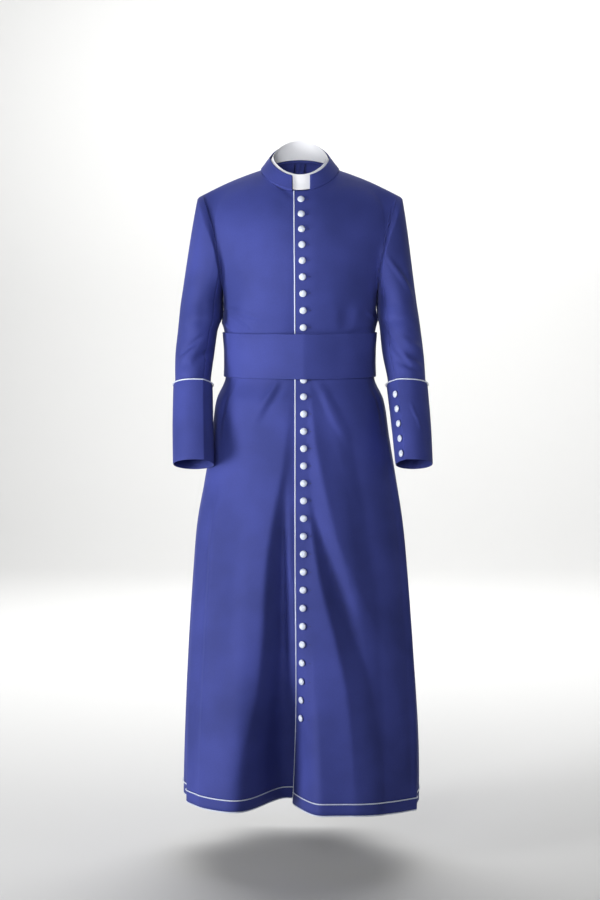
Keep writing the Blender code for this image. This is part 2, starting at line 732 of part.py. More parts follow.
for word, side in (("left", 1), ("right", -1)):
    first, last = UNDER_SLEEVE
    into_body = Vector((-side * ARMHOLE_AXIS[0], 0.0, -ARMHOLE_AXIS[2]))
    upper = Sleeve(word, last - 1.0, first)
    under = Sleeve(word, first, last)
    for name, sleeve, columns in (("upper_sleeve_" + word, upper, UPPER_SLEEVE_COLUMNS),
                                  ("under_sleeve_" + word, under, UNDER_SLEEVE_COLUMNS)):
        spacing = HALF_GAP + SLEEVE_SPARE
        grid = sew(sleeve.grid(columns), sleeve, [HALF_GAP] * (columns + 1), [into_body] * (columns + 1),
                   first=spacing, last=spacing)
        grid.reverse()
        cloth_piece(name, grid, wool, outward=sleeve.normal(0.02, 0.98))


def cuff_point(word, share, way, out=0.0):
    """A point on a cuff: way 0 at its top edge, 1 at the wrist"""
    side = 1 if word == "left" else -1
    rings = CUFF_RINGS[word]
    rows = [(k / (len(rings) - 1), *ring) for k, ring in enumerate(rings)]
    height, outer, inner, middle, depth, tilt = smooth_rows(rows, way)
    return ring_point((height, outer + out, inner - out, middle, depth + out, tilt), share, side)


cuff_button = button_mesh("cuff_button")
for word, side in (("left", 1), ("right", -1)):
    grid = [[cuff_point(word, i / CUFF_COLUMNS, j / CUFF_ROWS) for i in range(CUFF_COLUMNS)]
            for j in range(CUFF_ROWS + 1)]
    cloth_piece("cuff_" + word, grid, wool, closed=True, outward=Vector((side, 0, 0)))
    edge = [cuff_point(word, i / CUFF_COLUMNS, 0.0, PIPING / 2.0 + SEAM_GAP) for i in range(CUFF_COLUMNS)]
    piping("cuff_piping_" + word, edge, satin, closed=True)
    length = CUFF_RINGS[word][0][0] - CUFF_RINGS[word][-1][0]
    for number in range(CUFF_BUTTONS):
        way = (CUFF_BUTTON_FIRST + number * CUFF_BUTTON_PITCH) / length
        share = CUFF_BUTTON_SHARE[word]
        point = cuff_point(word, share, way)
        around = cuff_point(word, share + 0.01, way) - cuff_point(word, share - 0.01, way)
        down = cuff_point(word, share, way + 0.05) - cuff_point(word, share, way - 0.05)
        outward = (around.cross(down) * side).normalized()
        name = f"cuff_button_{word}_{number + 1}"
        place_button(name, cuff_button, point, outward, satin)


# ---- collars ------------------------------------------------------------------------------------
def collar_point(turn, way, out=0.0, rise=0.0):
    """A point of the stand collar: turn from the centre front, way 0 at the neckline, 1 at the top"""
    sine, cosine = math.sin(math.radians(turn)), math.cos(math.radians(turn))
    low = neckline(turn)
    low.z += SEAM_GAP
    y_end, z_end = COLLAR_FRONT_TOP if cosine > 0 else COLLAR_BACK_TOP
    side_z = COLLAR_SIDE_TOP[1]
    top = Vector((COLLAR_SIDE_TOP[0] * sine, y_end * abs(cosine), mix(side_z, z_end, abs(cosine) ** 1.3)))
    point = mix(low, top, way)
    around = Vector((sine, -cosine, 0.0))
    return point + around * out + Vector((0.0, 0.0, rise))


def notch_turn(x, way):
    """The turn at which the collar reaches an x, so that the notch's edges are upright"""
    return math.degrees(math.asin(x / mix(NECK_SIDE, COLLAR_SIDE_TOP[0], way)))


grid = []
for j in range(COLLAR_ROWS + 1):
    way = j / COLLAR_ROWS
    first, last = notch_turn(COLLAR_NOTCH[1], way), notch_turn(COLLAR_NOTCH[0], way) + 360.0
    grid.append([collar_point(mix(first, last, i / COLLAR_COLUMNS), way) for i in range(COLLAR_COLUMNS + 1)])
down = [Vector((0.0, 0.0, -1.0))] * len(grid[0])
grid[0] = draw_in(grid[0], grid[1], [point.normalized() for point in grid[0]], [0.0] * len(down), down)
cloth_piece("collar", grid, wool, outward=Vector((0, -1, 0)))

grid = []
for way, rise in ((CLERICAL_LOWEST, 0.0), (0.5, 0.0), (1.0, CLERICAL_RISE)):
    grid.append([collar_point(360.0 * i / COLLAR_COLUMNS, way, -CLERICAL_INSIDE, rise)
                 for i in range(COLLAR_COLUMNS)])
cloth_piece("clerical_collar", grid, linen, closed=True, thickness=CLERICAL_THICKNESS,
            outward=Vector((0, -1, 0)))


# ---- cincture -----------------------------------------------------------------------------------
def cincture_point(angle, height):
    """A point of the band, which stands off further over the buttons"""
    middle = CINCTURE_TOP - CINCTURE_HEIGHT / 2.0
    point, outward = section_point(angle, mix(height, middle, 0.15))
    point.z = height
    line = smooth_rows(BUTTON_LINE, height)[0]
    near = max(1.0 - abs(point.x - line) / CINCTURE_BUTTONS_WIDTH, 0.0) if abs(angle) < 90.0 else 0.0
    return point + outward * (CLOTH + CINCTURE_OFFSET + CINCTURE_OVER_BUTTONS * near ** 1.2)


grid = []
for j in range(CINCTURE_ROWS + 1):
    height = CINCTURE_TOP - CINCTURE_HEIGHT * j / CINCTURE_ROWS
    grid.append([cincture_point(360.0 * i / CINCTURE_COLUMNS - 180.0, height) for i in range(CINCTURE_COLUMNS)])
cloth_piece("cincture", grid, wool, closed=True, outward=Vector((0, 1, 0)))


# ---- piping -------------------------------------------------------------------------------------
OVER = PIPING / 2.0 + SEAM_GAP

edge_points = []
for v in front_left.levels:
    edge = front_left.point(0.0, v, out=PIPING / 2.0 - CLOTH)
    beside = front_left.point(1.0 / front_left.columns, v, out=PIPING / 2.0 - CLOTH)
    edge_points.append(edge + (edge - beside).normalized() * OVER)
edge_points[0] = mix(edge_points[0], edge_points[1], 0.03)
piping("front_piping", edge_points, satin)


def round_the_hem(v, out, drop):
    """Points round the hem, from the lap's edge by the wearer's left, the back and the right"""
    points = [front_left.on_facet(i / 20, v, out) for i in range(1, 20)]
    points += [back_left.on_facet(1.0 - i / 15, v, out) for i in range(0, 16)]
    points += [back_right.on_facet(i / 15, v, out) for i in range(1, 16)]
    points += [front_right.on_facet(1.0 - i / 20, v, out) for i in range(1, 17)]
    return [point - Vector((0.0, 0.0, drop)) for point in points]


piping("hem_line_piping", round_the_hem(front_left.levels[-2], OVER, 0.0), satin)
piping("hem_edge_piping", round_the_hem(1.0, -CLOTH / 2.0, OVER), satin)


def button_clearance(panel, u, v, outward):
    """How far a button stands off, so that its flat back clears cloth that bends toward it"""
    centre = panel.on_facet(u, v, 0.0)
    highest = 0.0
    for k in range(12):
        for radius in (BUTTON_DIAMETER / 4.0, BUTTON_DIAMETER / 2.0):
            x = centre.x + radius * math.cos(math.tau * k / 12.0)
            z = centre.z + radius * math.sin(math.tau * k / 12.0)
            beside = panel.on_facet(*panel.find(x, z), 0.0)
            highest = max(highest, (beside - centre).dot(outward))
    return highest + min(highest, BUTTON_SPARE)


# ---- front buttons ------------------------------------------------------------------------------
front_button = button_mesh("front_button")
for number in range(FRONT_BUTTONS):
    height = smooth_rows(BUTTON_HEIGHTS, number)[0]
    u, v = front_left.find(smooth_rows(BUTTON_LINE, height)[0], height)
    outward = front_left.normal(u, v)
    point = front_left.on_facet(u, v, 0.0) + outward * button_clearance(front_left, u, v, outward)
    place_button(f"front_button_{number + 1:02d}", front_button, point, outward, satin)
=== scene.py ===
import math

import bmesh
import bpy
import numpy as np
from mathutils import Matrix, Vector


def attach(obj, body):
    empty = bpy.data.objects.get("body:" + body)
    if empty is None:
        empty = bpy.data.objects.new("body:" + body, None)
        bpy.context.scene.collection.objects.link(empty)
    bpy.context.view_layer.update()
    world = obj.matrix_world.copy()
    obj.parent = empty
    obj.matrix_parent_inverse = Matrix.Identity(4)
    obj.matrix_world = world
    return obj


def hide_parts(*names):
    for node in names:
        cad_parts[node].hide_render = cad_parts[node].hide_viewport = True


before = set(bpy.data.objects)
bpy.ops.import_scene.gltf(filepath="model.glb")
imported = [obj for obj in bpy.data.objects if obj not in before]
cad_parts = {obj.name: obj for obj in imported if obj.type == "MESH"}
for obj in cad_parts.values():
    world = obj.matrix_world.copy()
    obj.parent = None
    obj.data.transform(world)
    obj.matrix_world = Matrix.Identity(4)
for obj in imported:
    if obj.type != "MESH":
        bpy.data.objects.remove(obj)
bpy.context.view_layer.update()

# ---- Studio -------------------------------------------------------------------------------------
# A pale floor sweeps up into a wall well behind the garment, and each has a lamp of its own. A large
# soft lamp stands low on the wearer's right, with narrow weak ones in front and on the left. The
# camera is at chest height, tilted a little down.
def add_object(name, data):
    """An object with its data, in the scene"""
    thing = bpy.data.objects.new(name, data)
    bpy.context.scene.collection.objects.link(thing)
    return thing


camera = add_object("camera", bpy.data.cameras.new("camera"))
camera.location = (0.0, -4.5, -0.217)
camera.rotation_euler = (math.radians(85.0), 0.0, 0.0)
camera.data.sensor_fit = "VERTICAL"
camera.data.sensor_height = 36.0
camera.data.lens = 82.3
bpy.context.scene.camera = camera


def linear(code):
    """An sRGB hex colour as linear red, green, blue and alpha"""
    shares = [int(code[i:i + 2], 16) / 255.0 for i in (1, 3, 5)]
    return [c / 12.92 if c <= 0.04045 else ((c + 0.055) / 1.055) ** 2.4 for c in shares] + [1.0]


def add_node(tree, kind, settings=None, **sockets):
    """A node with its settings, and its sockets set to values or linked to other nodes' outputs"""
    node = tree.nodes.new("ShaderNode" + kind)
    for name, value in (settings or {}).items():
        setattr(node, name, value)
    for name, value in sockets.items():
        socket = node.inputs[int(name[1:]) if name[1:].isdigit() else name.replace("_", " ")]
        if isinstance(value, bpy.types.NodeSocket):
            tree.links.new(value, socket)
        else:
            socket.default_value = value
    return node


def new_material(name, colour, roughness):
    """A Principled material, returned with its tree and its shader"""
    material = bpy.data.materials.new(name)
    material.use_nodes = True
    shader = material.node_tree.nodes["Principled BSDF"]
    shader.inputs["Base Color"].default_value = linear(colour)
    shader.inputs["Roughness"].default_value = roughness
    return material, material.node_tree, shader


# painted studio sweep: matt white paint, with no texture to draw the eye
sweep_paint = new_material("matt_white_paint", "#cdcdcc", 0.9)[0]
FLOOR = -1.505
WALL = 5.4                # the floor turns up this far behind the garment
SWEEP_RADIUS = 1.2
profile = [(-3.0, FLOOR), (WALL - SWEEP_RADIUS, FLOOR)]
for i in range(1, 17):
    turn = math.radians(90.0 * i / 16)
    profile.append((WALL - SWEEP_RADIUS * (1.0 - math.sin(turn)),
                    FLOOR + SWEEP_RADIUS * (1.0 - math.cos(turn))))
profile.append((WALL, 5.0))
sweep_mesh = bpy.data.meshes.new("studio_sweep")
sweep_mesh.from_pydata([(x, y, z) for y, z in profile for x in (-6.0, 6.0)], [],
                       [(2 * i, 2 * i + 1, 2 * i + 3, 2 * i + 2) for i in range(len(profile) - 1)])
sweep_mesh.shade_smooth()
sweep_mesh.materials.append(sweep_paint)
add_object("studio_sweep", sweep_mesh)


def soft_lamp(name, place, target, width, height, watts, spread=180.0):
    """A white rectangular lamp that faces a point. A grid on it narrows its beam to the spread, in
    degrees, and 180 is without one"""
    light = bpy.data.lights.new(name, "AREA")
    light.shape = "RECTANGLE"
    light.size, light.size_y = width, height
    light.energy = watts
    light.spread = math.radians(spread)
    lamp = add_object(name, light)
    lamp.location = place
    lamp.rotation_euler = (Vector(target) - Vector(place)).to_track_quat("-Z", "Y").to_euler()
    lamp.visible_camera = False


soft_lamp("side_lamp", (-2.75, -1.6, -0.7), (0.0, 0.0, -0.8), 1.0, 1.6, 104.0)
soft_lamp("front_lamp", (-0.7, -3.6, 0.3), (0.0, 0.0, -0.05), 1.2, 1.2, 8.4, 47.0)
soft_lamp("right_lamp", (3.0, -1.5, 0.3), (0.0, 0.0, -0.2), 1.0, 1.6, 2.6, 80.0)
soft_lamp("wall_lamp", (0.4, 3.2, 1.3), (0.1, 5.4, -0.9), 4.4, 1.0, 145.0)
soft_lamp("floor_lamp", (0.1, 2.5, 1.7), (0.1, 0.9, -1.6), 5.0, 2.4, 84.0, 110.0)
world = bpy.data.worlds.new("studio")
world.use_nodes = True
world.node_tree.nodes["Background"].inputs["Color"].default_value = linear("#f2f4fa")
world.node_tree.nodes["Background"].inputs["Strength"].default_value = 0.02
bpy.context.scene.world = world
# colours come out as the lamps light them, with no film curve
bpy.context.scene.view_settings.view_transform = "Standard"


# ---- Body: two fronts and two backs -------------------------------------------------------------
# The coat's body is cut in four lengths of worsted twill from the shoulders to the hem. The left front
# laps over the right. Below the waist the cloth hangs in folds, and it creases where it is held.
CLOTH = 0.0018            # thickness of the twill
SEAM_GAP = 0.0003
LAP = 0.0021              # the under front lies this far below the lapping front
LAP_SPARE = 1.15          # with a little room for its creases
HEM_RIGHT, HEM_LEFT, HEM_BACK = -1.368, -1.376, -1.372
HEM_LINE = 0.024          # the piped line lies this far above the hem's edge
YOKE = -0.300             # sections below this height, and columns that run to the shoulders above
SECTION_POWER = 2.15
# height, half width on the wearer's right, on the left, depth in front, depth behind,
# how far back the widest point lies, on the right, on the left
SECTIONS = (
    (-1.420, 0.2545, 0.2570, 0.203, 0.250, -0.050, -0.130),
    (-1.250, 0.2530, 0.2580, 0.192, 0.226, -0.040, -0.105),
    (-1.050, 0.2460, 0.2490, 0.175, 0.196, -0.030, -0.060),
    (-0.850, 0.2340, 0.2350, 0.158, 0.172, -0.015, -0.020),
    (-0.765, 0.2265, 0.2265, 0.150, 0.163, -0.006, -0.008),
    (-0.680, 0.2110, 0.2130, 0.141, 0.154, 0.000, 0.000),
    (-0.580, 0.1940, 0.1960, 0.132, 0.142, 0.005, 0.005),
    (-0.500, 0.1830, 0.1830, 0.128, 0.127, 0.008, 0.008),
    (-0.456, 0.1640, 0.1635, 0.1170, 0.103, 0.008, 0.008),
    (-0.400, 0.1605, 0.1600, 0.1155, 0.100, 0.008, 0.008),
    (-0.345, 0.1650, 0.1640, 0.1200, 0.104, 0.008, 0.008),
    (-0.270, 0.1680, 0.1680, 0.133, 0.121, 0.006, 0.006),
)
# where the lapping front's edge lies: height, x
LAP_EDGE = (
    (-1.380, -0.0165),
    (-1.340, -0.0140),
    (-1.190, -0.0088),
    (-1.040, -0.0078),
    (-0.840, -0.0088),
    (-0.490, -0.0088),
    (-0.300, -0.0096),
    (-0.040, -0.0113),
)
UNDERLAP = 0.0255         # the under front runs on this far past the lap's edge
# the fold down the centre front: height, how far back it pushes the lap's edge, width of the lapping
# side, how far the under front falls behind the lap
CENTRE_FOLD = (
    (-1.400, 0.100, 0.060, 0.022),
    (-1.300, 0.086, 0.056, 0.016),
    (-1.200, 0.062, 0.050, 0.009),
    (-1.100, 0.032, 0.043, 0.004),
    (-1.000, 0.012, 0.038, 0.0021),
    (-0.850, 0.003, 0.030, 0.0021),
    (-0.650, 0.000, 0.030, 0.0021),
)
UNDER_SIDE_WIDTH = 0.125
LAP_ROUNDING = 1.7
UNDER_FALL_WIDTH, UNDER_LAP_WIDTH = 0.10, 0.030       # the under front falls back over these widths
# folds that hang from the waist, by the angle round from the centre front, + to the wearer's left:
# height of the top, of the foot, angle at the top, at the foot, half width at the top, at the foot,
# how far it stands out at the foot
FOLDS = (
    (-0.480, -1.400, -14.0, -39.0, 9.0, 17.0, 0.020),
    (-0.560, -1.200, -10.0, -12.0, 6.0, 12.0, -0.013),
    (-0.520, -1.400, -72.0, -68.0, 7.0, 9.0, 0.006),
    (-0.520, -1.400, -86.0, -84.0, 6.0, 6.0, -0.014),
    (-0.440, -1.300, 10.0, 25.0, 3.5, 8.0, -0.007),
    (-0.470, -1.400, 17.0, 34.0, 7.0, 15.0, 0.010),
    (-0.520, -1.400, 84.0, 86.0, 6.0, 7.0, -0.014),
    (-0.560, -1.400, 112.0, 110.0, 12.0, 14.0, 0.012),
    (-0.500, -1.400, 137.0, 134.0, 8.0, 11.0, -0.034),
    (-0.500, -1.400, 160.0, 158.0, 9.0, 12.0, 0.016),
    (-0.520, -1.400, 180.0, 180.0, 6.0, 8.0, -0.020),
    (-0.500, -1.400, -158.0, -160.0, 9.0, 12.0, 0.018),
    (-0.500, -1.400, -136.0, -135.0, 8.0, 11.0, -0.030),
    (-0.560, -1.400, -112.0, -111.0, 12.0, 14.0, 0.014),
)
NECK_SIDE = 0.084
NECK_FRONT = (-0.078, -0.0475)
NECK_BACK = (0.068, 0.022)
SHOULDER_POINT = (0.2125, 0.004, -0.0545)
SHOULDER_BOW = 0.0035
ARMHOLE = (
    SHOULDER_POINT,
    (0.2040, -0.032, -0.082),
    (0.1885, -0.053, -0.135),
    (0.1765, -0.062, -0.190),
    (0.1695, -0.050, -0.238),
    (0.1675, 0.008, -0.266),
    (0.1730, 0.062, -0.236),
    (0.1800, 0.080, -0.185),
    (0.1930, 0.072, -0.120),
    (0.2060, 0.044, -0.078),
)
UNDERARM = 5
SIDE_SEAM = 96.0
LAP_CROWDING = 1.3
TIP_ANGLE = 46.0
NARROWING = 0.85
SKIRT_CROWDING = 1.3

# Creases that run down: each is a name and rows of height, x, half width on the side of -x and of +x,
# and how far it stands out. Each begins and ends at nothing.
FRONT_CREASES = {
    "drag from the collar": (
        (-0.010, -0.074, 0.006, 0.007, 0.0), (-0.026, -0.057, 0.006, 0.008, -0.0034),
        (-0.045, -0.036, 0.006, 0.008, -0.0040), (-0.066, -0.014, 0.005, 0.006, 0.0)),
    "roll below it": (
        (-0.030, -0.076, 0.008, 0.010, 0.0), (-0.050, -0.056, 0.010, 0.010, 0.0024),
        (-0.080, -0.020, 0.008, 0.008, 0.0)),
    "blade beside the armhole": (
        (-0.205, -0.150, 0.010, 0.009, 0.0), (-0.240, -0.152, 0.010, 0.009, -0.0032),
        (-0.290, -0.156, 0.010, 0.009, 0.0)),
    "small ridge on the right": (
        (-0.222, -0.1235, 0.004, 0.005, 0.0), (-0.245, -0.1205, 0.004, 0.006, 0.0022),
        (-0.270, -0.1180, 0.004, 0.006, 0.0)),
    "drag from the left armhole": (
        (-0.180, 0.170, 0.014, 0.010, 0.0), (-0.215, 0.150, 0.016, 0.012, -0.0034),
        (-0.255, 0.128, 0.016, 0.014, -0.0030), (-0.300, 0.106, 0.014, 0.014, 0.0)),
    "hollow over the left waist": (
        (-0.200, 0.113, 0.018, 0.018, 0.0), (-0.270, 0.104, 0.016, 0.018, -0.0030),
        (-0.325, 0.098, 0.014, 0.014, -0.0034), (-0.356, 0.096, 0.012, 0.012, 0.0)),
    "ridge beside that hollow": (
        (-0.230, 0.136, 0.010, 0.012, 0.0), (-0.290, 0.127, 0.010, 0.012, 0.0022),
        (-0.345, 0.121, 0.010, 0.012, 0.0)),
    "light drag at the right hip": (
        (-0.449, -0.048, 0.007, 0.009, 0.0), (-0.470, -0.057, 0.010, 0.010, 0.0038),
        (-0.505, -0.078, 0.014, 0.010, 0.0034), (-0.545, -0.098, 0.012, 0.009, 0.0)),
    "dark drag at the right hip": (
        (-0.447, -0.029, 0.008, 0.006, 0.0), (-0.475, -0.045, 0.010, 0.009, -0.0042),
        (-0.515, -0.068, 0.012, 0.012, -0.0038), (-0.565, -0.094, 0.010, 0.012, 0.0)),
    "strip beside the lap": (
        (-0.680, -0.0250, 0.012, 0.010, 0.0), (-0.800, -0.0250, 0.013, 0.010, 0.0024),
        (-0.950, -0.0260, 0.014, 0.010, 0.0030), (-1.100, -0.0270, 0.014, 0.010, 0.0)),
    "soft valley at the right side": (
        (-0.740, -0.2060, 0.014, 0.016, 0.0), (-0.860, -0.2090, 0.012, 0.018, -0.0040),
        (-0.980, -0.2130, 0.012, 0.018, 0.0)),
    "light drag at the left hip": (
        (-0.447, 0.0360, 0.010, 0.012, 0.0), (-0.490, 0.0545, 0.009, 0.014, 0.0036),
        (-0.545, 0.0800, 0.010, 0.018, 0.0030), (-0.610, 0.1220, 0.014, 0.024, 0.0)),
    "edge of the lap's facing": (
        (-1.020, 0.0206, 0.003, 0.004, 0.0), (-1.080, 0.0205, 0.003, 0.004, -0.0014),
        (-1.160, 0.0205, 0.003, 0.004, -0.0014), (-1.230, 0.0205, 0.003, 0.004, 0.0)),
}
# Ridges and hollows with a crisp line down their middle, in rows as above
CRISP_CREASES = {
    "long ridge on the right": (
        (-0.460, -0.0140, 0.020, 0.006, 0.0), (-0.560, -0.0270, 0.036, 0.014, 0.0026),
        (-0.637, -0.0380, 0.046, 0.020, 0.0060), (-0.710, -0.0490, 0.054, 0.026, 0.0105),
        (-0.805, -0.0660, 0.062, 0.034, 0.0165), (-0.905, -0.0750, 0.064, 0.038, 0.0200),
        (-0.985, -0.0790, 0.066, 0.042, 0.0195), (-1.097, -0.0930, 0.066, 0.050, 0.0150),
        (-1.190, -0.1130, 0.064, 0.058, 0.0095), (-1.280, -0.1350, 0.054, 0.066, 0.0070),
        (-1.400, -0.1520, 0.046, 0.070, 0.0045)),
    "valley beside that ridge": (
        (-0.640, -0.0300, 0.010, 0.010, 0.0), (-0.710, -0.0350, 0.018, 0.012, -0.0060),
        (-0.780, -0.0370, 0.026, 0.014, -0.0140), (-0.840, -0.0370, 0.036, 0.016, -0.0205),
        (-0.927, -0.0360, 0.044, 0.019, -0.0260), (-1.015, -0.0350, 0.050, 0.020, -0.0260),
        (-1.100, -0.0340, 0.056, 0.020, -0.0215), (-1.190, -0.0340, 0.058, 0.020, -0.0140),
        (-1.290, -0.0360, 0.056, 0.020, -0.0080), (-1.400, -0.0380, 0.050, 0.020, -0.0030)),
    "edge of the right side": (
        (-0.680, -0.1740, 0.010, 0.030, 0.0), (-0.780, -0.1850, 0.014, 0.050, 0.0080),
        (-0.900, -0.1910, 0.016, 0.056, 0.0110), (-1.050, -0.1970, 0.018, 0.056, 0.0110),
        (-1.200, -0.2060, 0.018, 0.050, 0.0080), (-1.400, -0.2140, 0.018, 0.040, 0.0030)),
    "long ridge on the left": (
        (-0.460, 0.0200, 0.008, 0.014, 0.0), (-0.540, 0.0270, 0.012, 0.026, 0.0040),
        (-0.605, 0.0350, 0.018, 0.036, 0.0075), (-0.671, 0.0480, 0.026, 0.046, 0.0100),
        (-0.738, 0.0640, 0.034, 0.054, 0.0110), (-0.796, 0.0800, 0.040, 0.058, 0.0100),
        (-0.853, 0.0960, 0.044, 0.058, 0.0080), (-0.912, 0.1120, 0.040, 0.052, 0.0050),
        (-0.985, 0.1280, 0.034, 0.044, 0.0)),
    "edge beside the buttons": (
        (-0.735, 0.0190, 0.008, 0.010, 0.0), (-0.800, 0.0290, 0.016, 0.018, 0.0045),
        (-0.879, 0.0420, 0.028, 0.030, 0.0095), (-0.938, 0.0560, 0.038, 0.038, 0.0120),
        (-0.988, 0.0690, 0.046, 0.044, 0.0135), (-1.055, 0.0840, 0.054, 0.052, 0.0140),
        (-1.140, 0.0990, 0.058, 0.058, 0.0130), (-1.250, 0.1120, 0.056, 0.060, 0.0100),
        (-1.400, 0.1220, 0.050, 0.060, 0.0065)),
    "valley beside that edge": (
        (-0.700, 0.0240, 0.006, 0.010, 0.0), (-0.750, 0.0350, 0.012, 0.020, -0.0045),
        (-0.820, 0.0550, 0.022, 0.032, -0.0090), (-0.879, 0.0740, 0.032, 0.038, -0.0115),
        (-0.948, 0.0980, 0.040, 0.046, -0.0120), (-1.006, 0.1190, 0.046, 0.052, -0.0105),
        (-1.070, 0.1450, 0.050, 0.052, -0.0075), (-1.140, 0.1620, 0.050, 0.046, -0.0040),
        (-1.230, 0.1720, 0.044, 0.040, 0.0)),
    "side of the knee": (
        (-0.500, 0.0950, 0.024, 0.026, 0.0), (-0.640, 0.1230, 0.030, 0.034, -0.0030),
        (-0.800, 0.1500, 0.036, 0.040, -0.0045), (-0.970, 0.1700, 0.036, 0.040, -0.0030),
        (-1.140, 0.1780, 0.040, 0.042, -0.0035), (-1.300, 0.1810, 0.046, 0.048, -0.0040),
        (-1.400, 0.1820, 0.046, 0.048, -0.0030)),
}
# Creases that run across: rows of x, height, half width below and above, and how far it stands out
LEVEL_CREASES = {
    "fold over the right belt": (
        (-0.158, -0.312, 0.006, 0.005, 0.0), (-0.140, -0.326, 0.008, 0.006, -0.0034),
        (-0.120, -0.340, 0.008, 0.007, -0.0034), (-0.098, -0.352, 0.007, 0.006, 0.0)),
    "ridge over the right belt": (
        (-0.171, -0.327, 0.005, 0.004, 0.0), (-0.154, -0.341, 0.006, 0.005, 0.0030),
        (-0.134, -0.355, 0.006, 0.006, 0.0)),
    "ridge above that fold": (
        (-0.166, -0.297, 0.005, 0.005, 0.0), (-0.145, -0.303, 0.006, 0.006, 0.0024),
        (-0.122, -0.309, 0.007, 0.006, 0.0024), (-0.090, -0.318, 0.006, 0.006, 0.0018),
        (-0.056, -0.325, 0.006, 0.006, 0.0)),
    "nick under the right arm": (
        (-0.155, -0.300, 0.005, 0.005, 0.0), (-0.138, -0.294, 0.005, 0.006, -0.0020),
        (-0.120, -0.284, 0.005, 0.005, 0.0)),
    "drag on the left belt": (
        (0.088, -0.356, 0.005, 0.005, 0.0), (0.120, -0.350, 0.006, 0.006, -0.0028),
        (0.150, -0.345, 0.005, 0.005, -0.0020), (0.166, -0.342, 0.005, 0.005, 0.0)),
    "ridge on the left belt": (
        (0.140, -0.305, 0.005, 0.006, 0.0), (0.156, -0.318, 0.006, 0.006, 0.0026),
        (0.170, -0.332, 0.005, 0.005, 0.0)),
    "nick beside the lap": (
        (-0.034, -0.783, 0.003, 0.004, 0.0), (-0.022, -0.777, 0.003, 0.004, -0.0022),
        (-0.010, -0.769, 0.003, 0.003, -0.0014), (-0.004, -0.766, 0.003, 0.003, 0.0)),
}
BACK_CREASES = {
    "hollow between the blades": (
        (-0.075, 0.000, 0.030, 0.030, 0.0), (-0.150, 0.000, 0.040, 0.040, -0.0035),
        (-0.240, 0.000, 0.040, 0.040, -0.0045), (-0.340, 0.000, 0.030, 0.030, 0.0)),
    "drag from the left armhole": (
        (-0.150, 0.168, 0.012, 0.012, 0.0), (-0.200, 0.146, 0.016, 0.014, -0.0040),
        (-0.270, 0.117, 0.016, 0.016, -0.0035), (-0.340, 0.094, 0.012, 0.012, 0.0)),
    "drag from the right armhole": (
        (-0.140, -0.170, 0.012, 0.012, 0.0), (-0.190, -0.150, 0.014, 0.016, -0.0042),
        (-0.255, -0.126, 0.016, 0.016, -0.0032), (-0.345, -0.098, 0.012, 0.012, 0.0)),
    "roll beside it": (
        (-0.170, -0.128, 0.012, 0.012, 0.0), (-0.235, -0.103, 0.014, 0.014, 0.0028),
        (-0.320, -0.080, 0.012, 0.012, 0.0)),
    "gather above the belt, left": (
        (-0.275, 0.055, 0.010, 0.010, 0.0), (-0.320, 0.050, 0.010, 0.010, -0.0030),
        (-0.356, 0.047, 0.008, 0.008, 0.0)),
    "gather above the belt, right": (
        (-0.262, -0.040, 0.010, 0.010, 0.0), (-0.312, -0.045, 0.011, 0.011, 0.0028),
        (-0.356, -0.050, 0.008, 0.008, 0.0)),
    "drag over the left hip": (
        (-0.447, 0.062, 0.010, 0.012, 0.0), (-0.520, 0.074, 0.012, 0.014, 0.0042),
        (-0.640, 0.092, 0.016, 0.020, 0.0045), (-0.800, 0.110, 0.020, 0.026, 0.0)),
    "valley beside it": (
        (-0.455, 0.035, 0.010, 0.010, 0.0), (-0.560, 0.044, 0.014, 0.014, -0.0045),
        (-0.740, 0.056, 0.018, 0.018, -0.0055), (-0.980, 0.066, 0.020, 0.020, 0.0)),
    "drag over the right hip": (
        (-0.447, -0.070, 0.012, 0.010, 0.0), (-0.510, -0.082, 0.014, 0.012, 0.0040),
        (-0.650, -0.104, 0.020, 0.016, 0.0045), (-0.860, -0.126, 0.024, 0.020, 0.0)),
    "valley on the right": (
        (-0.462, -0.030, 0.010, 0.010, 0.0), (-0.600, -0.040, 0.014, 0.014, -0.0050),
        (-0.830, -0.052, 0.020, 0.020, -0.0060), (-1.080, -0.064, 0.020, 0.020, 0.0)),
    "late fold on the left": (
        (-0.900, 0.150, 0.014, 0.014, 0.0), (-1.050, 0.160, 0.020, 0.020, 0.0060),
        (-1.250, 0.168, 0.026, 0.026, 0.0075), (-1.400, 0.172, 0.028, 0.028, 0.0060)),
    "late fold on the right": (
        (-0.840, -0.160, 0.014, 0.014, 0.0), (-1.000, -0.168, 0.020, 0.020, 0.0055),
        (-1.200, -0.174, 0.026, 0.026, 0.0080), (-1.400, -0.178, 0.028, 0.028, 0.0070)),
}
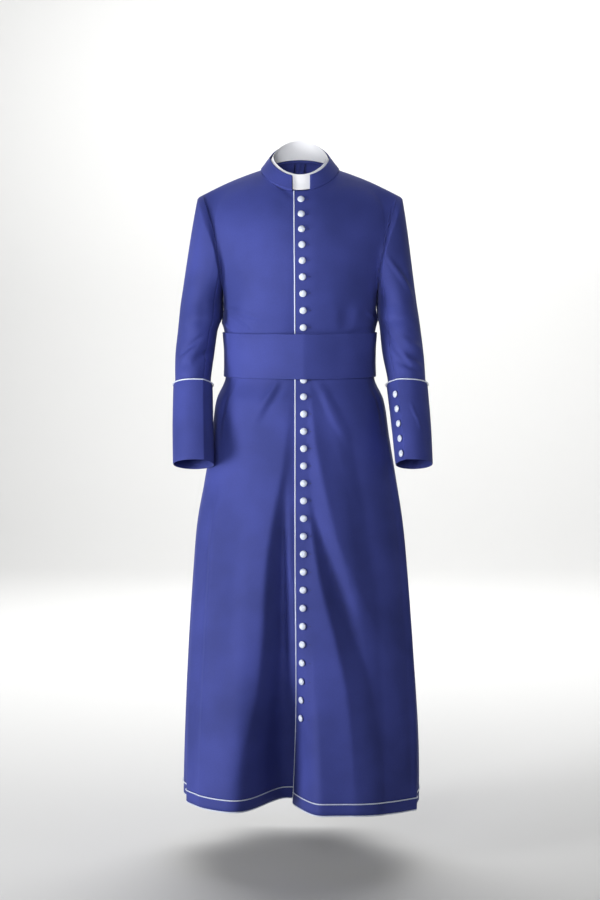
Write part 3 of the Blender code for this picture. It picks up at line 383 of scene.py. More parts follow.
# The side creases, by the angle round the body: rows of height, angle, half widths in degrees, depth
SIDE_CREASES = {
    "bloused over the cincture, left": (
        (-0.301, 99.0, 11.0, 12.0, 0.0), (-0.324, 99.0, 12.0, 13.0, 0.0065),
        (-0.343, 100.0, 11.0, 12.0, 0.0045), (-0.360, 100.0, 10.0, 10.0, 0.0)),
    "bloused over the cincture, right": (
        (-0.301, -99.0, 12.0, 11.0, 0.0), (-0.326, -99.0, 13.0, 12.0, 0.0065),
        (-0.343, -100.0, 12.0, 11.0, 0.0045), (-0.360, -100.0, 10.0, 10.0, 0.0)),
    "left side, front": (
        (-0.500, 72.0, 4.0, 5.0, 0.0), (-0.700, 73.0, 5.0, 5.0, 0.0045),
        (-1.000, 74.0, 6.0, 5.0, 0.0060), (-1.400, 75.0, 6.0, 5.0, 0.0040)),
    "left side, behind": (
        (-0.470, 103.0, 4.0, 4.0, 0.0), (-0.620, 104.0, 5.0, 5.0, -0.0050),
        (-0.900, 105.0, 6.0, 6.0, -0.0070), (-1.200, 104.0, 6.0, 6.0, 0.0)),
    "right side, behind": (
        (-0.480, -101.0, 4.0, 4.0, 0.0), (-0.660, -103.0, 5.0, 5.0, -0.0050),
        (-1.000, -104.0, 6.0, 6.0, -0.0070), (-1.300, -103.0, 6.0, 6.0, 0.0)),
    "left hip": (
        (-0.447, 66.0, 4.0, 4.0, 0.0), (-0.500, 68.0, 4.0, 4.0, -0.0035),
        (-0.600, 71.0, 5.0, 4.0, 0.0)),
    "right hip": (
        (-0.447, -60.0, 4.0, 4.0, 0.0), (-0.505, -62.0, 4.0, 4.0, -0.0030),
        (-0.610, -66.0, 5.0, 4.0, 0.0)),
}


def hermite(a, b, leaving, arriving, t):
    """A cubic from a to b with the given slopes at its ends"""
    t2, t3 = t * t, t * t * t
    return (a * (2 * t3 - 3 * t2 + 1) + leaving * (t3 - 2 * t2 + t)
            + b * (3 * t2 - 2 * t3) + arriving * (t3 - t2))


def on_table(rows, place):
    """The columns of a table at one place or at many, on smooth curves through its rows"""
    rows = np.array(rows, dtype=float)
    rows = rows[np.argsort(rows[:, 0])]
    keys, values = rows[:, 0], rows[:, 1:].T
    number = np.arange(len(keys))
    after, before = np.minimum(number + 1, len(keys) - 1), np.maximum(number - 1, 0)
    slopes = (values[:, after] - values[:, before]) / (keys[after] - keys[before])
    place = np.clip(place, keys[0], keys[-1])
    i = np.clip(np.searchsorted(keys, place, side="left") - 1, 0, len(keys) - 2)
    span = keys[i + 1] - keys[i]
    return hermite(values[:, i], values[:, i + 1], slopes[:, i] * span, slopes[:, i + 1] * span,
                   (place - keys[i]) / span)


def ease(t):
    """0 below 0, 1 above 1, and smooth between"""
    t = np.clip(t, 0.0, 1.0)
    return t * t * (3.0 - 2.0 * t)


def mix(a, b, t):
    return a + (b - a) * t


def power(value, exponent):
    """A power that keeps the sign"""
    return np.copysign(np.abs(value) ** exponent, value)


def unit(vectors):
    return vectors / np.linalg.norm(vectors, axis=-1, keepdims=True)


def points_of(x, y, z):
    return np.stack(np.broadcast_arrays(x, y, z), axis=-1).astype(float)


def hem_height(angle, side):
    return mix(HEM_LEFT if side > 0 else HEM_RIGHT, HEM_BACK, ease(np.abs(angle) / 180.0))


def section(angle, height):
    """Points of the plain body section, with the directions out of it"""
    half_right, half_left, front, back, side_right, side_left = on_table(SECTIONS, height)
    sine, cosine = np.sin(np.radians(angle)), np.cos(np.radians(angle))
    half, side = np.where(sine > 0, half_left, half_right), np.where(sine > 0, side_left, side_right)
    depth = np.where(cosine > 0, front + side, back - side)
    x = half * power(sine, 2.0 / SECTION_POWER)
    y = side - depth * power(cosine, 2.0 / SECTION_POWER)
    outward = unit(points_of(x / half ** 2, (y - side) / depth ** 2, 0.0))
    return points_of(x, y, height), outward


def angle_at(x, height):
    """The angle of the section's point at an x, on the front"""
    half_right, half_left = on_table(SECTIONS, height)[:2]
    share = np.minimum(np.abs(x) / np.where(np.asarray(x) > 0, half_left, half_right), 1.0)
    return np.copysign(np.degrees(np.arcsin(share ** (SECTION_POWER / 2.0))), x)


def fold_depth(angle, height):
    """How far the hanging folds push the surface out"""
    total = 0.0
    for top, foot, angle_top, angle_foot, width_top, width_foot, depth in FOLDS:
        way = np.clip((top - height) / (top - foot), 0.0, 1.0)
        away = angle - mix(angle_top, angle_foot, way)
        away = np.abs((away + 180.0) % 360.0 - 180.0) / (2.0 * mix(width_top, width_foot, way))
        total = total + depth * way ** 1.2 * (1.0 - ease(away))
    return total


def lap_edge(height):
    return on_table(LAP_EDGE, height)[0]


def centre_fold(x, height, under):
    """How far back the fold down the centre pushes the points at x"""
    depth, lap_width, _ = on_table(CENTRE_FOLD, height)
    away = x - lap_edge(height)
    if under:
        return depth * (1.0 - ease(-away / UNDER_SIDE_WIDTH))
    return depth * (1.0 - np.clip(away / lap_width, 0.0, 1.0)) ** LAP_ROUNDING


def body_points(angle, height, under):
    """Points of the folded surface at or below the yoke height"""
    points, outward = section(angle, height)
    points = points + outward * np.asarray(fold_depth(angle, height))[..., None]
    pushed = centre_fold(points[..., 0], height, under)
    points[..., 1] += np.where(np.abs(angle) < 90.0, pushed, 0.0)
    return points


def neckline(turn):
    """The neckline, from the centre front (0 degrees) to the centre back (180)"""
    sine, cosine = np.sin(np.radians(turn)), np.cos(np.radians(turn))
    y, z = (np.where(cosine > 0, front, back) for front, back in zip(NECK_FRONT, NECK_BACK))
    return points_of(NECK_SIDE * sine, y * np.abs(cosine), z * np.abs(cosine) ** 1.3)


def armhole(share, side):
    """The armhole's loop: 0 and 1 at the shoulder point, going down the front"""
    rows = np.array(ARMHOLE)
    place = np.asarray(share) % 1.0 * len(rows)
    i = place.astype(int)
    before, a, b, after = (rows[(i + k) % len(rows)] for k in (-1, 0, 1, 2))
    points = hermite(a, b, (b - before) / 2.0, (after - a) / 2.0, (place - i)[..., None])
    return points * (side, 1.0, 1.0)


def bumps(creases, along, across, crisp=False):
    """How far a set of creases stands out at points: along is what their rows go by. A soft crease is
    a smooth swell, and a crisp one has a narrow rounded edge down its middle"""
    total = np.zeros(np.broadcast(along, across).shape)
    for rows in creases.values():
        middle, low_side, high_side, depth = on_table(rows, along)
        first, last = min(rows)[0], max(rows)[0]
        away = across - middle
        away = np.abs(away) / np.where(away < 0, low_side, high_side)
        inside = (along >= first) & (along <= last)
        rise = 1.0 - ease(away / 1.6)
        if crisp:
            rise = np.maximum(1.12 - np.hypot(away, 0.12), 0.0) ** 1.5
        total += np.where(inside, depth * rise, 0.0)
    return total


class Panel:
    """One cut length of the body, over its columns (u) and rows (v), both 0 to 1"""

    def __init__(self, side, back, counts, under=False):
        self.side, self.back, self.counts, self.under = side, back, counts, under
        self.columns = sum(counts)
        self.yoke = 0.3
        self.way_out = side * (-1.0 if back else 1.0)

    def v_at(self, height):
        """The row at a height below the yoke, as the hem is at the back"""
        way = (YOKE - height) / (YOKE - HEM_BACK)
        return self.yoke + (1.0 - self.yoke) * way ** (1.0 / SKIRT_CROWDING)

    def first_turn(self):
        if self.back:
            return 180.0
        x = -(lap_edge(YOKE) + UNDERLAP) if self.under else lap_edge(YOKE)
        return math.degrees(math.asin(x / NARROWING / NECK_SIDE))

    def yoke_angle(self, u, even=False):
        """The angle round the body of a column at the yoke height, or evenly spaced as it is below"""
        neck = self.counts[0] / self.columns
        if self.back:
            return mix(180.0, SIDE_SEAM, u)
        share = power(np.clip(u / neck, -1.0, 1.0), LAP_CROWDING)
        turn = np.radians(mix(self.first_turn(), 90.0, share))
        angle = self.side * angle_at(self.side * NARROWING * NECK_SIDE * np.sin(turn), YOKE)
        if even:
            return mix(angle, SIDE_SEAM, np.maximum(u - neck, 0.0) / (1.0 - neck))
        tip = neck + self.counts[1] / self.columns
        angle = mix(angle, TIP_ANGLE, np.clip((u - neck) / (tip - neck), 0.0, 1.0))
        return mix(angle, SIDE_SEAM, np.maximum(u - tip, 0.0) / (1.0 - tip))

    def angle(self, u, height):
        """The angle round the body of a column at a height"""
        angle = mix(self.yoke_angle(u), self.yoke_angle(u, True), ease((YOKE - height) / 0.25))
        if not self.back:
            x = lap_edge(height) + (UNDERLAP if self.under else 0.0)
            start = self.yoke_angle(np.zeros(1))[0]
            shift = self.side * angle_at(x, height) - start
            angle = angle + shift * (SIDE_SEAM - angle) / (SIDE_SEAM - start)
        return self.side * angle

    def top_edge(self, u):
        """Where the columns end at the top, and the slopes with which they arrive there"""
        neck, shoulder, hole = self.counts
        column = np.asarray(u) * self.columns
        over = -1.0 if self.back else 1.0
        share = np.clip(column / neck, -1.0, 1.0)
        turn = mix(self.first_turn(), 90.0, share if self.back else power(share, LAP_CROWDING))
        beside = np.sin(np.radians(turn)) ** 2
        by_neck = points_of(0.0, over * mix(0.60, 0.92, beside), mix(0.80, 0.30, beside))
        way = np.clip((column - neck) / shoulder, 0.0, 1.0)
        by_shoulder = points_of(self.side * 0.15 * way, over * 0.92, mix(0.30, 0.20, way))
        tip = np.array(SHOULDER_POINT) * (self.side, 1.0, 1.0)
        seam = mix(neckline(np.full(way.shape, self.side * 90.0)), tip, way[..., None])
        seam[..., 2] += SHOULDER_BOW * np.sin(math.pi * way)
        down = np.clip((column - neck - shoulder) / hole, 0.0, 1.0)
        half = UNDERARM / len(ARMHOLE)
        loop = 1.0 - (1.0 - half) * down if self.back else half * down
        start = np.array((self.side * 0.45, over * 0.75, 0.30))
        pitch = np.array((self.side * 0.65, over * 0.45, 0.55))
        low = np.array((self.side * 0.05, 0.0, 1.0))
        by_hole = np.where((down < 0.5)[..., None], mix(start, pitch, ease(down * 2.0)[..., None]),
                           mix(pitch, low, ease(down * 2.0 - 1.0)[..., None]))
        on_neck, on_hole = (column <= neck)[..., None], (column > neck + shoulder)[..., None]
        place = np.where(on_hole, armhole(loop, self.side), seam)
        place = np.where(on_neck, neckline(self.side * turn), place)
        arrive = unit(np.where(on_neck, by_neck, np.where(on_hole, by_hole, by_shoulder)))
        strength = np.where(on_hole[..., 0], mix(0.85, 0.40, ease(down * 1.6)), mix(0.9, 0.85, way))
        return place, arrive * np.where(on_neck[..., 0], 0.9, strength)[..., None]

    def plain(self, u, v):
        """Points of the uncreased surface"""
        u, v = np.broadcast_arrays(np.asarray(u, dtype=float), np.asarray(v, dtype=float))
        level = np.full(u.shape, YOKE)
        angle = self.angle(u, level)
        low = body_points(angle, level, self.under)
        rise = unit(body_points(angle, level + 0.01, self.under) - low)
        place, arrive = self.top_edge(u)
        length = np.linalg.norm(place - low, axis=-1, keepdims=True)
        up = 1.0 - np.minimum(v / self.yoke, 1.0)[..., None]
        upper = hermite(low, place, rise * length, arrive * length, up)
        way = (np.maximum(v - self.yoke, 0.0) / (1.0 - self.yoke)) ** SKIRT_CROWDING
        height = mix(YOKE, hem_height(self.angle(u, mix(YOKE, HEM_BACK, way)), self.side), way)
        lower = body_points(self.angle(u, height), height, self.under)
        return np.where((v <= self.yoke)[..., None], upper, lower)

    def outward(self, u, v, step=0.004):
        """The directions out of the uncreased cloth"""
        across = self.plain(u + step, v) - self.plain(u - step, v)
        down = self.plain(u, np.minimum(v + step, 1.0)) - self.plain(u, v - step)
        return unit(np.cross(down, across) * self.way_out)

    def creased(self, points, angle):
        """How far the creases stand out at points of the surface"""
        x, height = points[..., 0], points[..., 2]
        if self.back:
            total = bumps(BACK_CREASES, height, x)
        else:
            total = (bumps(FRONT_CREASES, height, x) + bumps(LEVEL_CREASES, x, height)
                     + bumps(CRISP_CREASES, height, x, crisp=True))
        held = 1.0 - ease(1.0 - np.abs(height - CINCTURE_MIDDLE) / CINCTURE_HOLD)
        return (total + np.where(height < YOKE, bumps(SIDE_CREASES, height, angle), 0.0)) * held

    def cloth(self, u, v, out=0.0):
        """Points at a distance outside the creased cloth's face"""
        u, v = np.broadcast_arrays(np.asarray(u, dtype=float), np.asarray(v, dtype=float))
        points = self.plain(u, v)
        height = points[..., 2]
        away = self.creased(points, self.angle(u, height)) + out
        if self.under:
            fall = np.where(height < YOKE, on_table(CENTRE_FOLD, height)[2], LAP)
            past = lap_edge(height) - points[..., 0]
            points[..., 1] += np.maximum(fall - LAP, 0.0) * ease(1.0 - past / UNDER_FALL_WIDTH)
            away = away - LAP * LAP_SPARE * ease(1.0 - past / UNDER_LAP_WIDTH)
        return points + self.outward(u, v) * np.asarray(away)[..., None]

    def find(self, x, height):
        """The u and v of the points at an x and a height"""
        x, height = np.broadcast_arrays(np.asarray(x, dtype=float), np.asarray(height, dtype=float))
        u = np.full(x.shape, 0.1)
        v = np.where(height > YOKE, self.yoke * 0.6, self.v_at(np.minimum(height, YOKE)))
        step = 0.002
        for _ in range(12):
            here = self.plain(u, v)
            by_u = (self.plain(u + step, v) - here) / step
            by_v = (self.plain(u, v + step) - here) / step
            miss_x, miss_z = x - here[..., 0], height - here[..., 2]
            scale = by_u[..., 0] * by_v[..., 2] - by_v[..., 0] * by_u[..., 2]
            u = np.clip(u + (miss_x * by_v[..., 2] - miss_z * by_v[..., 0]) / scale, 0.0, 0.99)
            v = np.clip(v + (by_u[..., 0] * miss_z - by_u[..., 2] * miss_x) / scale, 0.0, 0.99)
        return u, v


def along_columns(points):
    """How far down the cloth each point of a grid lies from the first row"""
    steps = np.linalg.norm(np.diff(points, axis=0), axis=-1)
    return np.concatenate([np.zeros((1, points.shape[1])), np.cumsum(steps, axis=0)])


def along_rows(points):
    """How far across the cloth each point of a grid lies from the first column"""
    return along_columns(points.swapaxes(0, 1)).T


def facing(points, way_out):
    """The directions out of a grid's surface"""
    down, across = np.gradient(points, axis=0), np.gradient(points, axis=1)
    return unit(np.cross(down, across) * way_out)


def shares(count, *near):
    """Shares from 0 to 1 in even steps, with more of them near seams"""
    return np.unique(np.concatenate([np.linspace(0.0, 1.0, count), *map(np.atleast_1d, near)]))


def turned_in(points, first=True):
    """How fully a grid of cloth turns in at its seams: its top, its last column, and its first"""
    down, across = along_columns(points), along_rows(points)
    turned = np.exp(-down / SEAM_WIDTH) + np.exp(-(across[:, -1:] - across) / SEAM_WIDTH)
    return turned + np.exp(-across / SEAM_WIDTH) if first else turned


def shell(name, points, towards, material, closed=False, thickness=CLOTH):
    """Cloth through a grid of points, as a thin shell with its outer face towards a direction"""
    index = np.arange(points.shape[0] * points.shape[1]).reshape(points.shape[:2])
    if closed:
        index = np.hstack([index, index[:, :1]])
    quads = np.stack([index[:-1, :-1], index[1:, :-1], index[1:, 1:], index[:-1, 1:]], axis=-1)
    quads = quads.reshape(-1, 4)
    corners = points.reshape(-1, 3)[quads[0]]
    if np.cross(corners[1] - corners[0], corners[3] - corners[0]) @ np.asarray(towards) < 0.0:
        quads = quads[:, ::-1]
    mesh = bpy.data.meshes.new(name)
    mesh.from_pydata(points.reshape(-1, 3).tolist(), [], quads.tolist())
    mesh.shade_smooth()
    mesh.materials.append(material)
    piece = add_object(name, mesh)
    solid = piece.modifiers.new("thickness", "SOLIDIFY")
    solid.thickness = thickness
    solid.offset = -1.0
    return piece


def stands_for(piece, slot, *nodes):
    """The piece rides on the garment, and is seen in place of its plain nodes"""
    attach(piece, "root")
    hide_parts(*nodes)


def colour_ramp(tree, share, low, high, start=0.0, end=1.0):
    """A ramp between two colours"""
    ramp = add_node(tree, "ValToRGB", Fac=share)
    for stop, position, colour in zip(ramp.color_ramp.elements, (start, end), (low, high)):
        stop.position, stop.color = position, linear(colour)
    return ramp.outputs["Color"]


# worsted wool in a fine 2/2 twill, piece-dyed: a matt face with a faint soft sheen at grazing angles
wool, tree, shader = new_material("blue_worsted_twill", "#394288", 0.72)
shader.inputs["Sheen Weight"].default_value = 0.08
shader.inputs["Sheen Roughness"].default_value = 0.45
shader.inputs["Sheen Tint"].default_value = linear("#b9c2f2")
shader.inputs["Specular IOR Level"].default_value = 0.22
place = add_node(tree, "TexCoord").outputs["Object"]
# dyed cloth is never quite even: slow patches some 120 mm across, and flecks of a few millimetres
patches = add_node(tree, "TexNoise", Vector=place, Scale=8.0, Detail=2.0).outputs["Fac"]
flecks = add_node(tree, "TexNoise", Vector=place, Scale=420.0, Detail=3.0).outputs["Fac"]
dye = colour_ramp(tree, patches, "#323b7e", "#3c4590", 0.35, 0.70)
fleck = colour_ramp(tree, flecks, "#e4e4e8", "#ffffff")
dyed = add_node(tree, "Mix", {"data_type": "RGBA", "blend_type": "MULTIPLY"}, Factor=1.0, _6=dye,
                _7=fleck)
tree.links.new(dyed.outputs[2], shader.inputs["Base Color"])
# the twill's diagonal ribs are 0.6 mm apart, drawn at 1.6 mm so that they show at all
TWILL_PER_METRE = 1.0 / 0.0016 / 20.0 * math.tau
twill = add_node(tree, "TexWave", {"bands_direction": "DIAGONAL"}, Vector=place, Scale=TWILL_PER_METRE,
                 Distortion=0.6, Detail=2.0).outputs["Fac"]
nap = add_node(tree, "TexNoise", Vector=place, Scale=900.0, Detail=2.0).outputs["Fac"]
relief = add_node(tree, "Math", {"operation": "MULTIPLY_ADD"}, _0=nap, _1=0.8, _2=twill)
bump = add_node(tree, "Bump", Height=relief.outputs["Value"], Strength=0.30, Distance=0.0004)
tree.links.new(bump.outputs["Normal"], shader.inputs["Normal"])

CINCTURE_MIDDLE, CINCTURE_HOLD = -0.40075, 0.060      # it presses the cloth flat this far away
NECK_COLUMNS, SHOULDER_COLUMNS, ARMHOLE_COLUMNS = 7, 6, 7
BACK_NECK_COLUMNS, BACK_SHOULDER_COLUMNS, BACK_ARMHOLE_COLUMNS = 4, 5, 6
SEAM_SINK = 0.0011        # the cloth turns in by this much at a seam
SEAM_WIDTH = 0.0028
# how the columns are evened out below the ends of the neckline and of the shoulder seam: as a share
# of the columns, of the rows at the top, and of the rows above the yoke, how strongly, and how
# many times over
EVEN_COLUMNS, EVEN_TOP, EVEN_FOOT, EVEN_STRENGTH, EVEN_PASSES = 0.24, 0.035, 0.06, 1.4, 240
front_left = Panel(1, False, (NECK_COLUMNS, SHOULDER_COLUMNS, ARMHOLE_COLUMNS))
front_right = Panel(-1, False, (NECK_COLUMNS, SHOULDER_COLUMNS, ARMHOLE_COLUMNS), under=True)
back_left = Panel(1, True, (BACK_NECK_COLUMNS, BACK_SHOULDER_COLUMNS, BACK_ARMHOLE_COLUMNS))
back_right = Panel(-1, True, (BACK_NECK_COLUMNS, BACK_SHOULDER_COLUMNS, BACK_ARMHOLE_COLUMNS))
HEM_LINE_V = front_left.v_at(HEM_BACK + HEM_LINE)
YOKE_V = front_left.v_at(YOKE) - 0.05
NEAR_SEAM = np.array((0.0005, 0.004, 0.009, 0.015, 0.022))
NEAR_TOP = np.array((0.0003, 0.0015, 0.003, 0.005, 0.0075))
NEAR_LINE = HEM_LINE_V + np.array((-0.004, -0.002, -0.001, 0.0, 0.001, 0.002, 0.004))
rows = shares(250, NEAR_TOP, NEAR_LINE)


def body_cloth(panel):
    """The grid of a panel's outer face, turned in at its seams"""
    columns = shares(92, NEAR_SEAM, 1.0 - NEAR_SEAM)
    points = panel.cloth(columns[None, :], rows[:, None])
    # the cloth runs on smoothly below the ends of the neckline and of the shoulder seam
    neck, shoulder, _ = np.cumsum(panel.counts) / panel.columns
    beside = sum(np.maximum(1.0 - np.abs(columns - end) / EVEN_COLUMNS, 0.0)
                 for end in (neck, shoulder))
    above = ease(rows / EVEN_TOP) * (1.0 - ease((rows - YOKE_V) / EVEN_FOOT))
    weight = ease(EVEN_STRENGTH * beside)[None, 1:-1] * above[:, None]
    for _ in range(EVEN_PASSES):
        level = (points[:, :-2] + points[:, 2:]) / 2.0
        points[:, 1:-1] += (level - points[:, 1:-1]) * weight[..., None] * 0.5
    stitched_in = 0.5 * np.exp(-((rows - HEM_LINE_V) / 0.002) ** 2)[:, None]
    sink = SEAM_SINK * np.minimum(turned_in(points, panel.back) + stitched_in, 1.0)
    return points - facing(points, panel.way_out) * sink[..., None]


# the cut of each length: its widest row and longest column, and the area left after shaping
BODY_CUTS = {
    "front_left": (front_left, (0.48, 1.40), 0.42),
    "front_right": (front_right, (0.50, 1.40), 0.44),
    "back_left": (back_left, (0.50, 1.42), 0.42),
    "back_right": (back_right, (0.48, 1.42), 0.41),
}
for name, (panel, flat, area) in BODY_CUTS.items():
    piece = shell(name + "_cloth", body_cloth(panel), (0.0, 1.0 if panel.back else -1.0, 0.0), wool)
    stands_for(piece, "blue_wool", name)


# ---- Sleeves ------------------------------------------------------------------------------------
# Each sleeve has an upper and an under piece of the same twill, set into the armhole with a little
# fullness at the head. They crease inside the elbow and drop a little over the cuff.
ARMHOLE_AXIS = (0.978, 0.0, -0.208)
SIDES = {"left": 1, "right": -1}
SLEEVE_SEAM = 0.0006      # the sleeve starts this far out of the armhole
SLEEVE_HEAD = 0.010
SLEEVE_ALLOWANCE, SLEEVE_ALLOWANCE_INWARD = 0.006, 0.0034
UNDER_SLEEVE = (0.37, 0.68)   # the share of the way round, from the outside of the arm by the front
# height of the ring's middle, outer x, inner x, middle y, half depth, tilt of the ring in degrees
SLEEVE_RINGS = {
    "right": (
        (-0.285, 0.2595, 0.1694, 0.002, 0.070, 0.0), (-0.322, 0.2632, 0.1718, -0.010, 0.067, 2.0),
        (-0.350, 0.2665, 0.1800, -0.002, 0.066, 4.0), (-0.400, 0.2715, 0.1870, -0.012, 0.062, 9.0),
        (-0.450, 0.2715, 0.1935, -0.027, 0.0565, 14.0),
        (-0.486, 0.2695, 0.1945, -0.038, 0.0535, 15.0),
    ),
    "left": (
        (-0.285, 0.2540, 0.1694, 0.002, 0.070, 0.0), (-0.322, 0.2592, 0.1718, -0.010, 0.067, 2.0),
        (-0.350, 0.2636, 0.1745, -0.002, 0.066, 4.0), (-0.400, 0.2695, 0.1800, -0.012, 0.062, 9.0),
        (-0.450, 0.2725, 0.1900, -0.027, 0.0565, 14.0),
        (-0.486, 0.2730, 0.1945, -0.038, 0.0535, 15.0),
    ),
}
# creases down the sleeve: rows of height, share round, half widths in shares, how far it stands out
SLEEVE_CREASES = {
    "right": {
        "pressed against the side": (
            (-0.252, 0.56, 0.04, 0.08, 0.0), (-0.272, 0.57, 0.05, 0.09, 0.0022),
            (-0.298, 0.58, 0.06, 0.10, 0.0060), (-0.320, 0.58, 0.06, 0.10, 0.0055),
            (-0.338, 0.58, 0.06, 0.09, 0.0)),
        "fall from the shoulder": (
            (-0.085, 0.16, 0.05, 0.05, 0.0), (-0.150, 0.17, 0.06, 0.05, 0.0022),
            (-0.240, 0.19, 0.06, 0.06, 0.0020), (-0.310, 0.20, 0.05, 0.05, 0.0)),
        "hollow above the elbow": (
            (-0.250, 0.27, 0.04, 0.05, 0.0), (-0.310, 0.28, 0.05, 0.05, -0.0028),
            (-0.362, 0.30, 0.04, 0.05, 0.0)),
        "back of the arm": (
            (-0.170, -0.24, 0.05, 0.04, 0.0), (-0.270, -0.22, 0.05, 0.05, -0.0032),
            (-0.370, -0.20, 0.05, 0.04, 0.0)),
    },
    "left": {
        "pressed against the side": (
            (-0.250, 0.56, 0.04, 0.08, 0.0), (-0.270, 0.57, 0.05, 0.09, 0.0024),
            (-0.297, 0.58, 0.06, 0.10, 0.0062), (-0.322, 0.58, 0.06, 0.10, 0.0055),
            (-0.340, 0.58, 0.06, 0.09, 0.0)),
        "bright drag from the shoulder": (
            (-0.180, 0.268, 0.020, 0.024, 0.0), (-0.205, 0.235, 0.020, 0.026, 0.0030),
            (-0.245, 0.160, 0.022, 0.030, 0.0034), (-0.285, 0.100, 0.022, 0.026, 0.0)),
        "hollow beside it": (
            (-0.190, 0.205, 0.026, 0.022, 0.0), (-0.230, 0.140, 0.026, 0.022, -0.0020),
            (-0.270, 0.080, 0.026, 0.022, 0.0)),
        "inside of the elbow": (
            (-0.330, 0.410, 0.030, 0.030, 0.0), (-0.365, 0.365, 0.030, 0.030, -0.0036),
            (-0.405, 0.275, 0.030, 0.030, -0.0030), (-0.430, 0.220, 0.030, 0.030, 0.0)),
        "back of the arm": (
            (-0.160, -0.20, 0.05, 0.04, 0.0), (-0.260, -0.23, 0.05, 0.05, -0.0034),
            (-0.360, -0.25, 0.05, 0.04, 0.0)),
    },
}
# creases round the sleeve: rows of share, height, half widths below and above, how far it stands out
ELBOW_CREASES = {
    "right": {
        "first elbow fold": (
            (0.120, -0.402, 0.008, 0.007, 0.0), (0.180, -0.388, 0.008, 0.007, -0.0040),
            (0.260, -0.370, 0.008, 0.007, -0.0044), (0.340, -0.356, 0.008, 0.007, 0.0)),
        "roll under it": (
            (0.100, -0.424, 0.010, 0.009, 0.0), (0.180, -0.405, 0.010, 0.009, 0.0034),
            (0.270, -0.386, 0.010, 0.009, 0.0034), (0.350, -0.374, 0.009, 0.009, 0.0)),
        "second elbow fold": (
            (0.230, -0.414, 0.008, 0.009, 0.0), (0.300, -0.405, 0.010, 0.010, -0.0052),
            (0.380, -0.396, 0.010, 0.010, -0.0046), (0.470, -0.390, 0.009, 0.009, 0.0)),
        "drop over the cuff": (
            (0.020, -0.436, 0.010, 0.012, 0.0), (0.150, -0.438, 0.012, 0.013, 0.0026),
            (0.300, -0.432, 0.012, 0.012, 0.0020), (0.400, -0.430, 0.010, 0.010, 0.0)),
        "behind the elbow": (
            (-0.290, -0.372, 0.010, 0.010, 0.0), (-0.220, -0.380, 0.011, 0.011, -0.0036),
            (-0.140, -0.396, 0.011, 0.011, -0.0026), (-0.080, -0.410, 0.010, 0.010, 0.0)),
    },
    "left": {
        "first elbow fold": (
            (0.060, -0.418, 0.008, 0.008, 0.0), (0.120, -0.409, 0.008, 0.008, -0.0040),
            (0.210, -0.397, 0.008, 0.008, -0.0046), (0.300, -0.386, 0.008, 0.008, 0.0)),
        "roll over it": (
            (0.040, -0.398, 0.009, 0.010, 0.0), (0.120, -0.386, 0.009, 0.010, 0.0032),
            (0.200, -0.376, 0.009, 0.010, 0.0030), (0.280, -0.362, 0.009, 0.010, 0.0)),
        "second elbow fold": (
            (0.100, -0.440, 0.007, 0.008, 0.0), (0.180, -0.427, 0.008, 0.008, -0.0030),
            (0.290, -0.416, 0.008, 0.008, -0.0034), (0.380, -0.404, 0.008, 0.008, 0.0)),
        "behind the elbow": (
            (-0.290, -0.356, 0.010, 0.010, 0.0), (-0.210, -0.366, 0.011, 0.011, -0.0038),
            (-0.130, -0.384, 0.011, 0.011, -0.0028), (-0.070, -0.402, 0.010, 0.010, 0.0)),
    },
}


def ring_points(ring, share, side):
    """Points of a ring round the arm: share 0 on the outside of the arm, 0.25 in front"""
    height, outer, inner, middle, depth, tilt = ring
    turn, lean = math.tau * np.asarray(share), np.radians(tilt)
    across, ahead = (outer - inner) / 2.0 * np.cos(turn), depth * np.sin(turn)
    return points_of(side * ((outer + inner) / 2.0 + across), middle - ahead * np.cos(lean),
                     height + ahead * np.sin(lean))


def sleeve_line(share, side, rings, way):
    """Points down one line of the sleeve, by their shares of its length from the armhole"""
    start = armhole(share, side) + np.array(ARMHOLE_AXIS) * (side, 1.0, 1.0) * SLEEVE_SEAM
    top, front_back = max(math.cos(math.tau * share), 0.0), abs(math.sin(math.tau * share))
    stations = [start]
    if top > 0.05 or front_back > 0.3:
        head = (side * (SLEEVE_HEAD * top + 0.004 * front_back), -0.006 * math.sin(math.tau * share),
                -0.010 * top - 0.006 * front_back)
        stations.append(start + head)
    stations = np.array(stations + [ring_points(ring, share, side) for ring in rings])
    lengths = np.concatenate([[0.0], np.cumsum(np.linalg.norm(np.diff(stations, axis=0), axis=1))])
    return on_table(np.column_stack([lengths, stations]), way * lengths[-1]).T


def sleeve_cloth(word, first, last, count):
    """The grid of one sleeve piece's outer face, between two shares of the way round"""
    side = SIDES[word]
    down = shares(110, (0.002, 0.006, 0.011, 0.018)) ** 1.5
    round_arm = mix(first, last, shares(count, NEAR_SEAM * 1.6, 1.0 - NEAR_SEAM * 1.6)[1:-1])
    lines = [sleeve_line(share, side, SLEEVE_RINGS[word], down) for share in round_arm]
    points = np.stack(lines, axis=1)
    height = points[..., 2]
    round_arm = np.broadcast_to(round_arm, height.shape)
    out = bumps(SLEEVE_CREASES[word], height, round_arm) + bumps(ELBOW_CREASES[word], round_arm, height)
    out = out - SEAM_SINK * np.minimum(turned_in(points), 1.0)
    outward = facing(points, -side)
    points = points + outward * out[..., None]
    # its seam allowance runs on under the body
    allowance = points[:1] - np.array(ARMHOLE_AXIS) * (side, 1.0, 1.0) * SLEEVE_ALLOWANCE
    return np.concatenate([allowance - outward[:1] * SLEEVE_ALLOWANCE_INWARD, points])


for word, side in SIDES.items():
    first, last = UNDER_SLEEVE
    upper = shell(f"upper_sleeve_{word}_cloth", sleeve_cloth(word, last - 1.0, first, 80),
                  (-side, 0.0, 0.0), wool)
    under = shell(f"under_sleeve_{word}_cloth", sleeve_cloth(word, first, last, 36),
                  (0.0, -1.0, 0.0), wool)
    stands_for(upper, "blue_wool", "upper_sleeve_" + word)
    stands_for(under, "blue_wool", "under_sleeve_" + word)


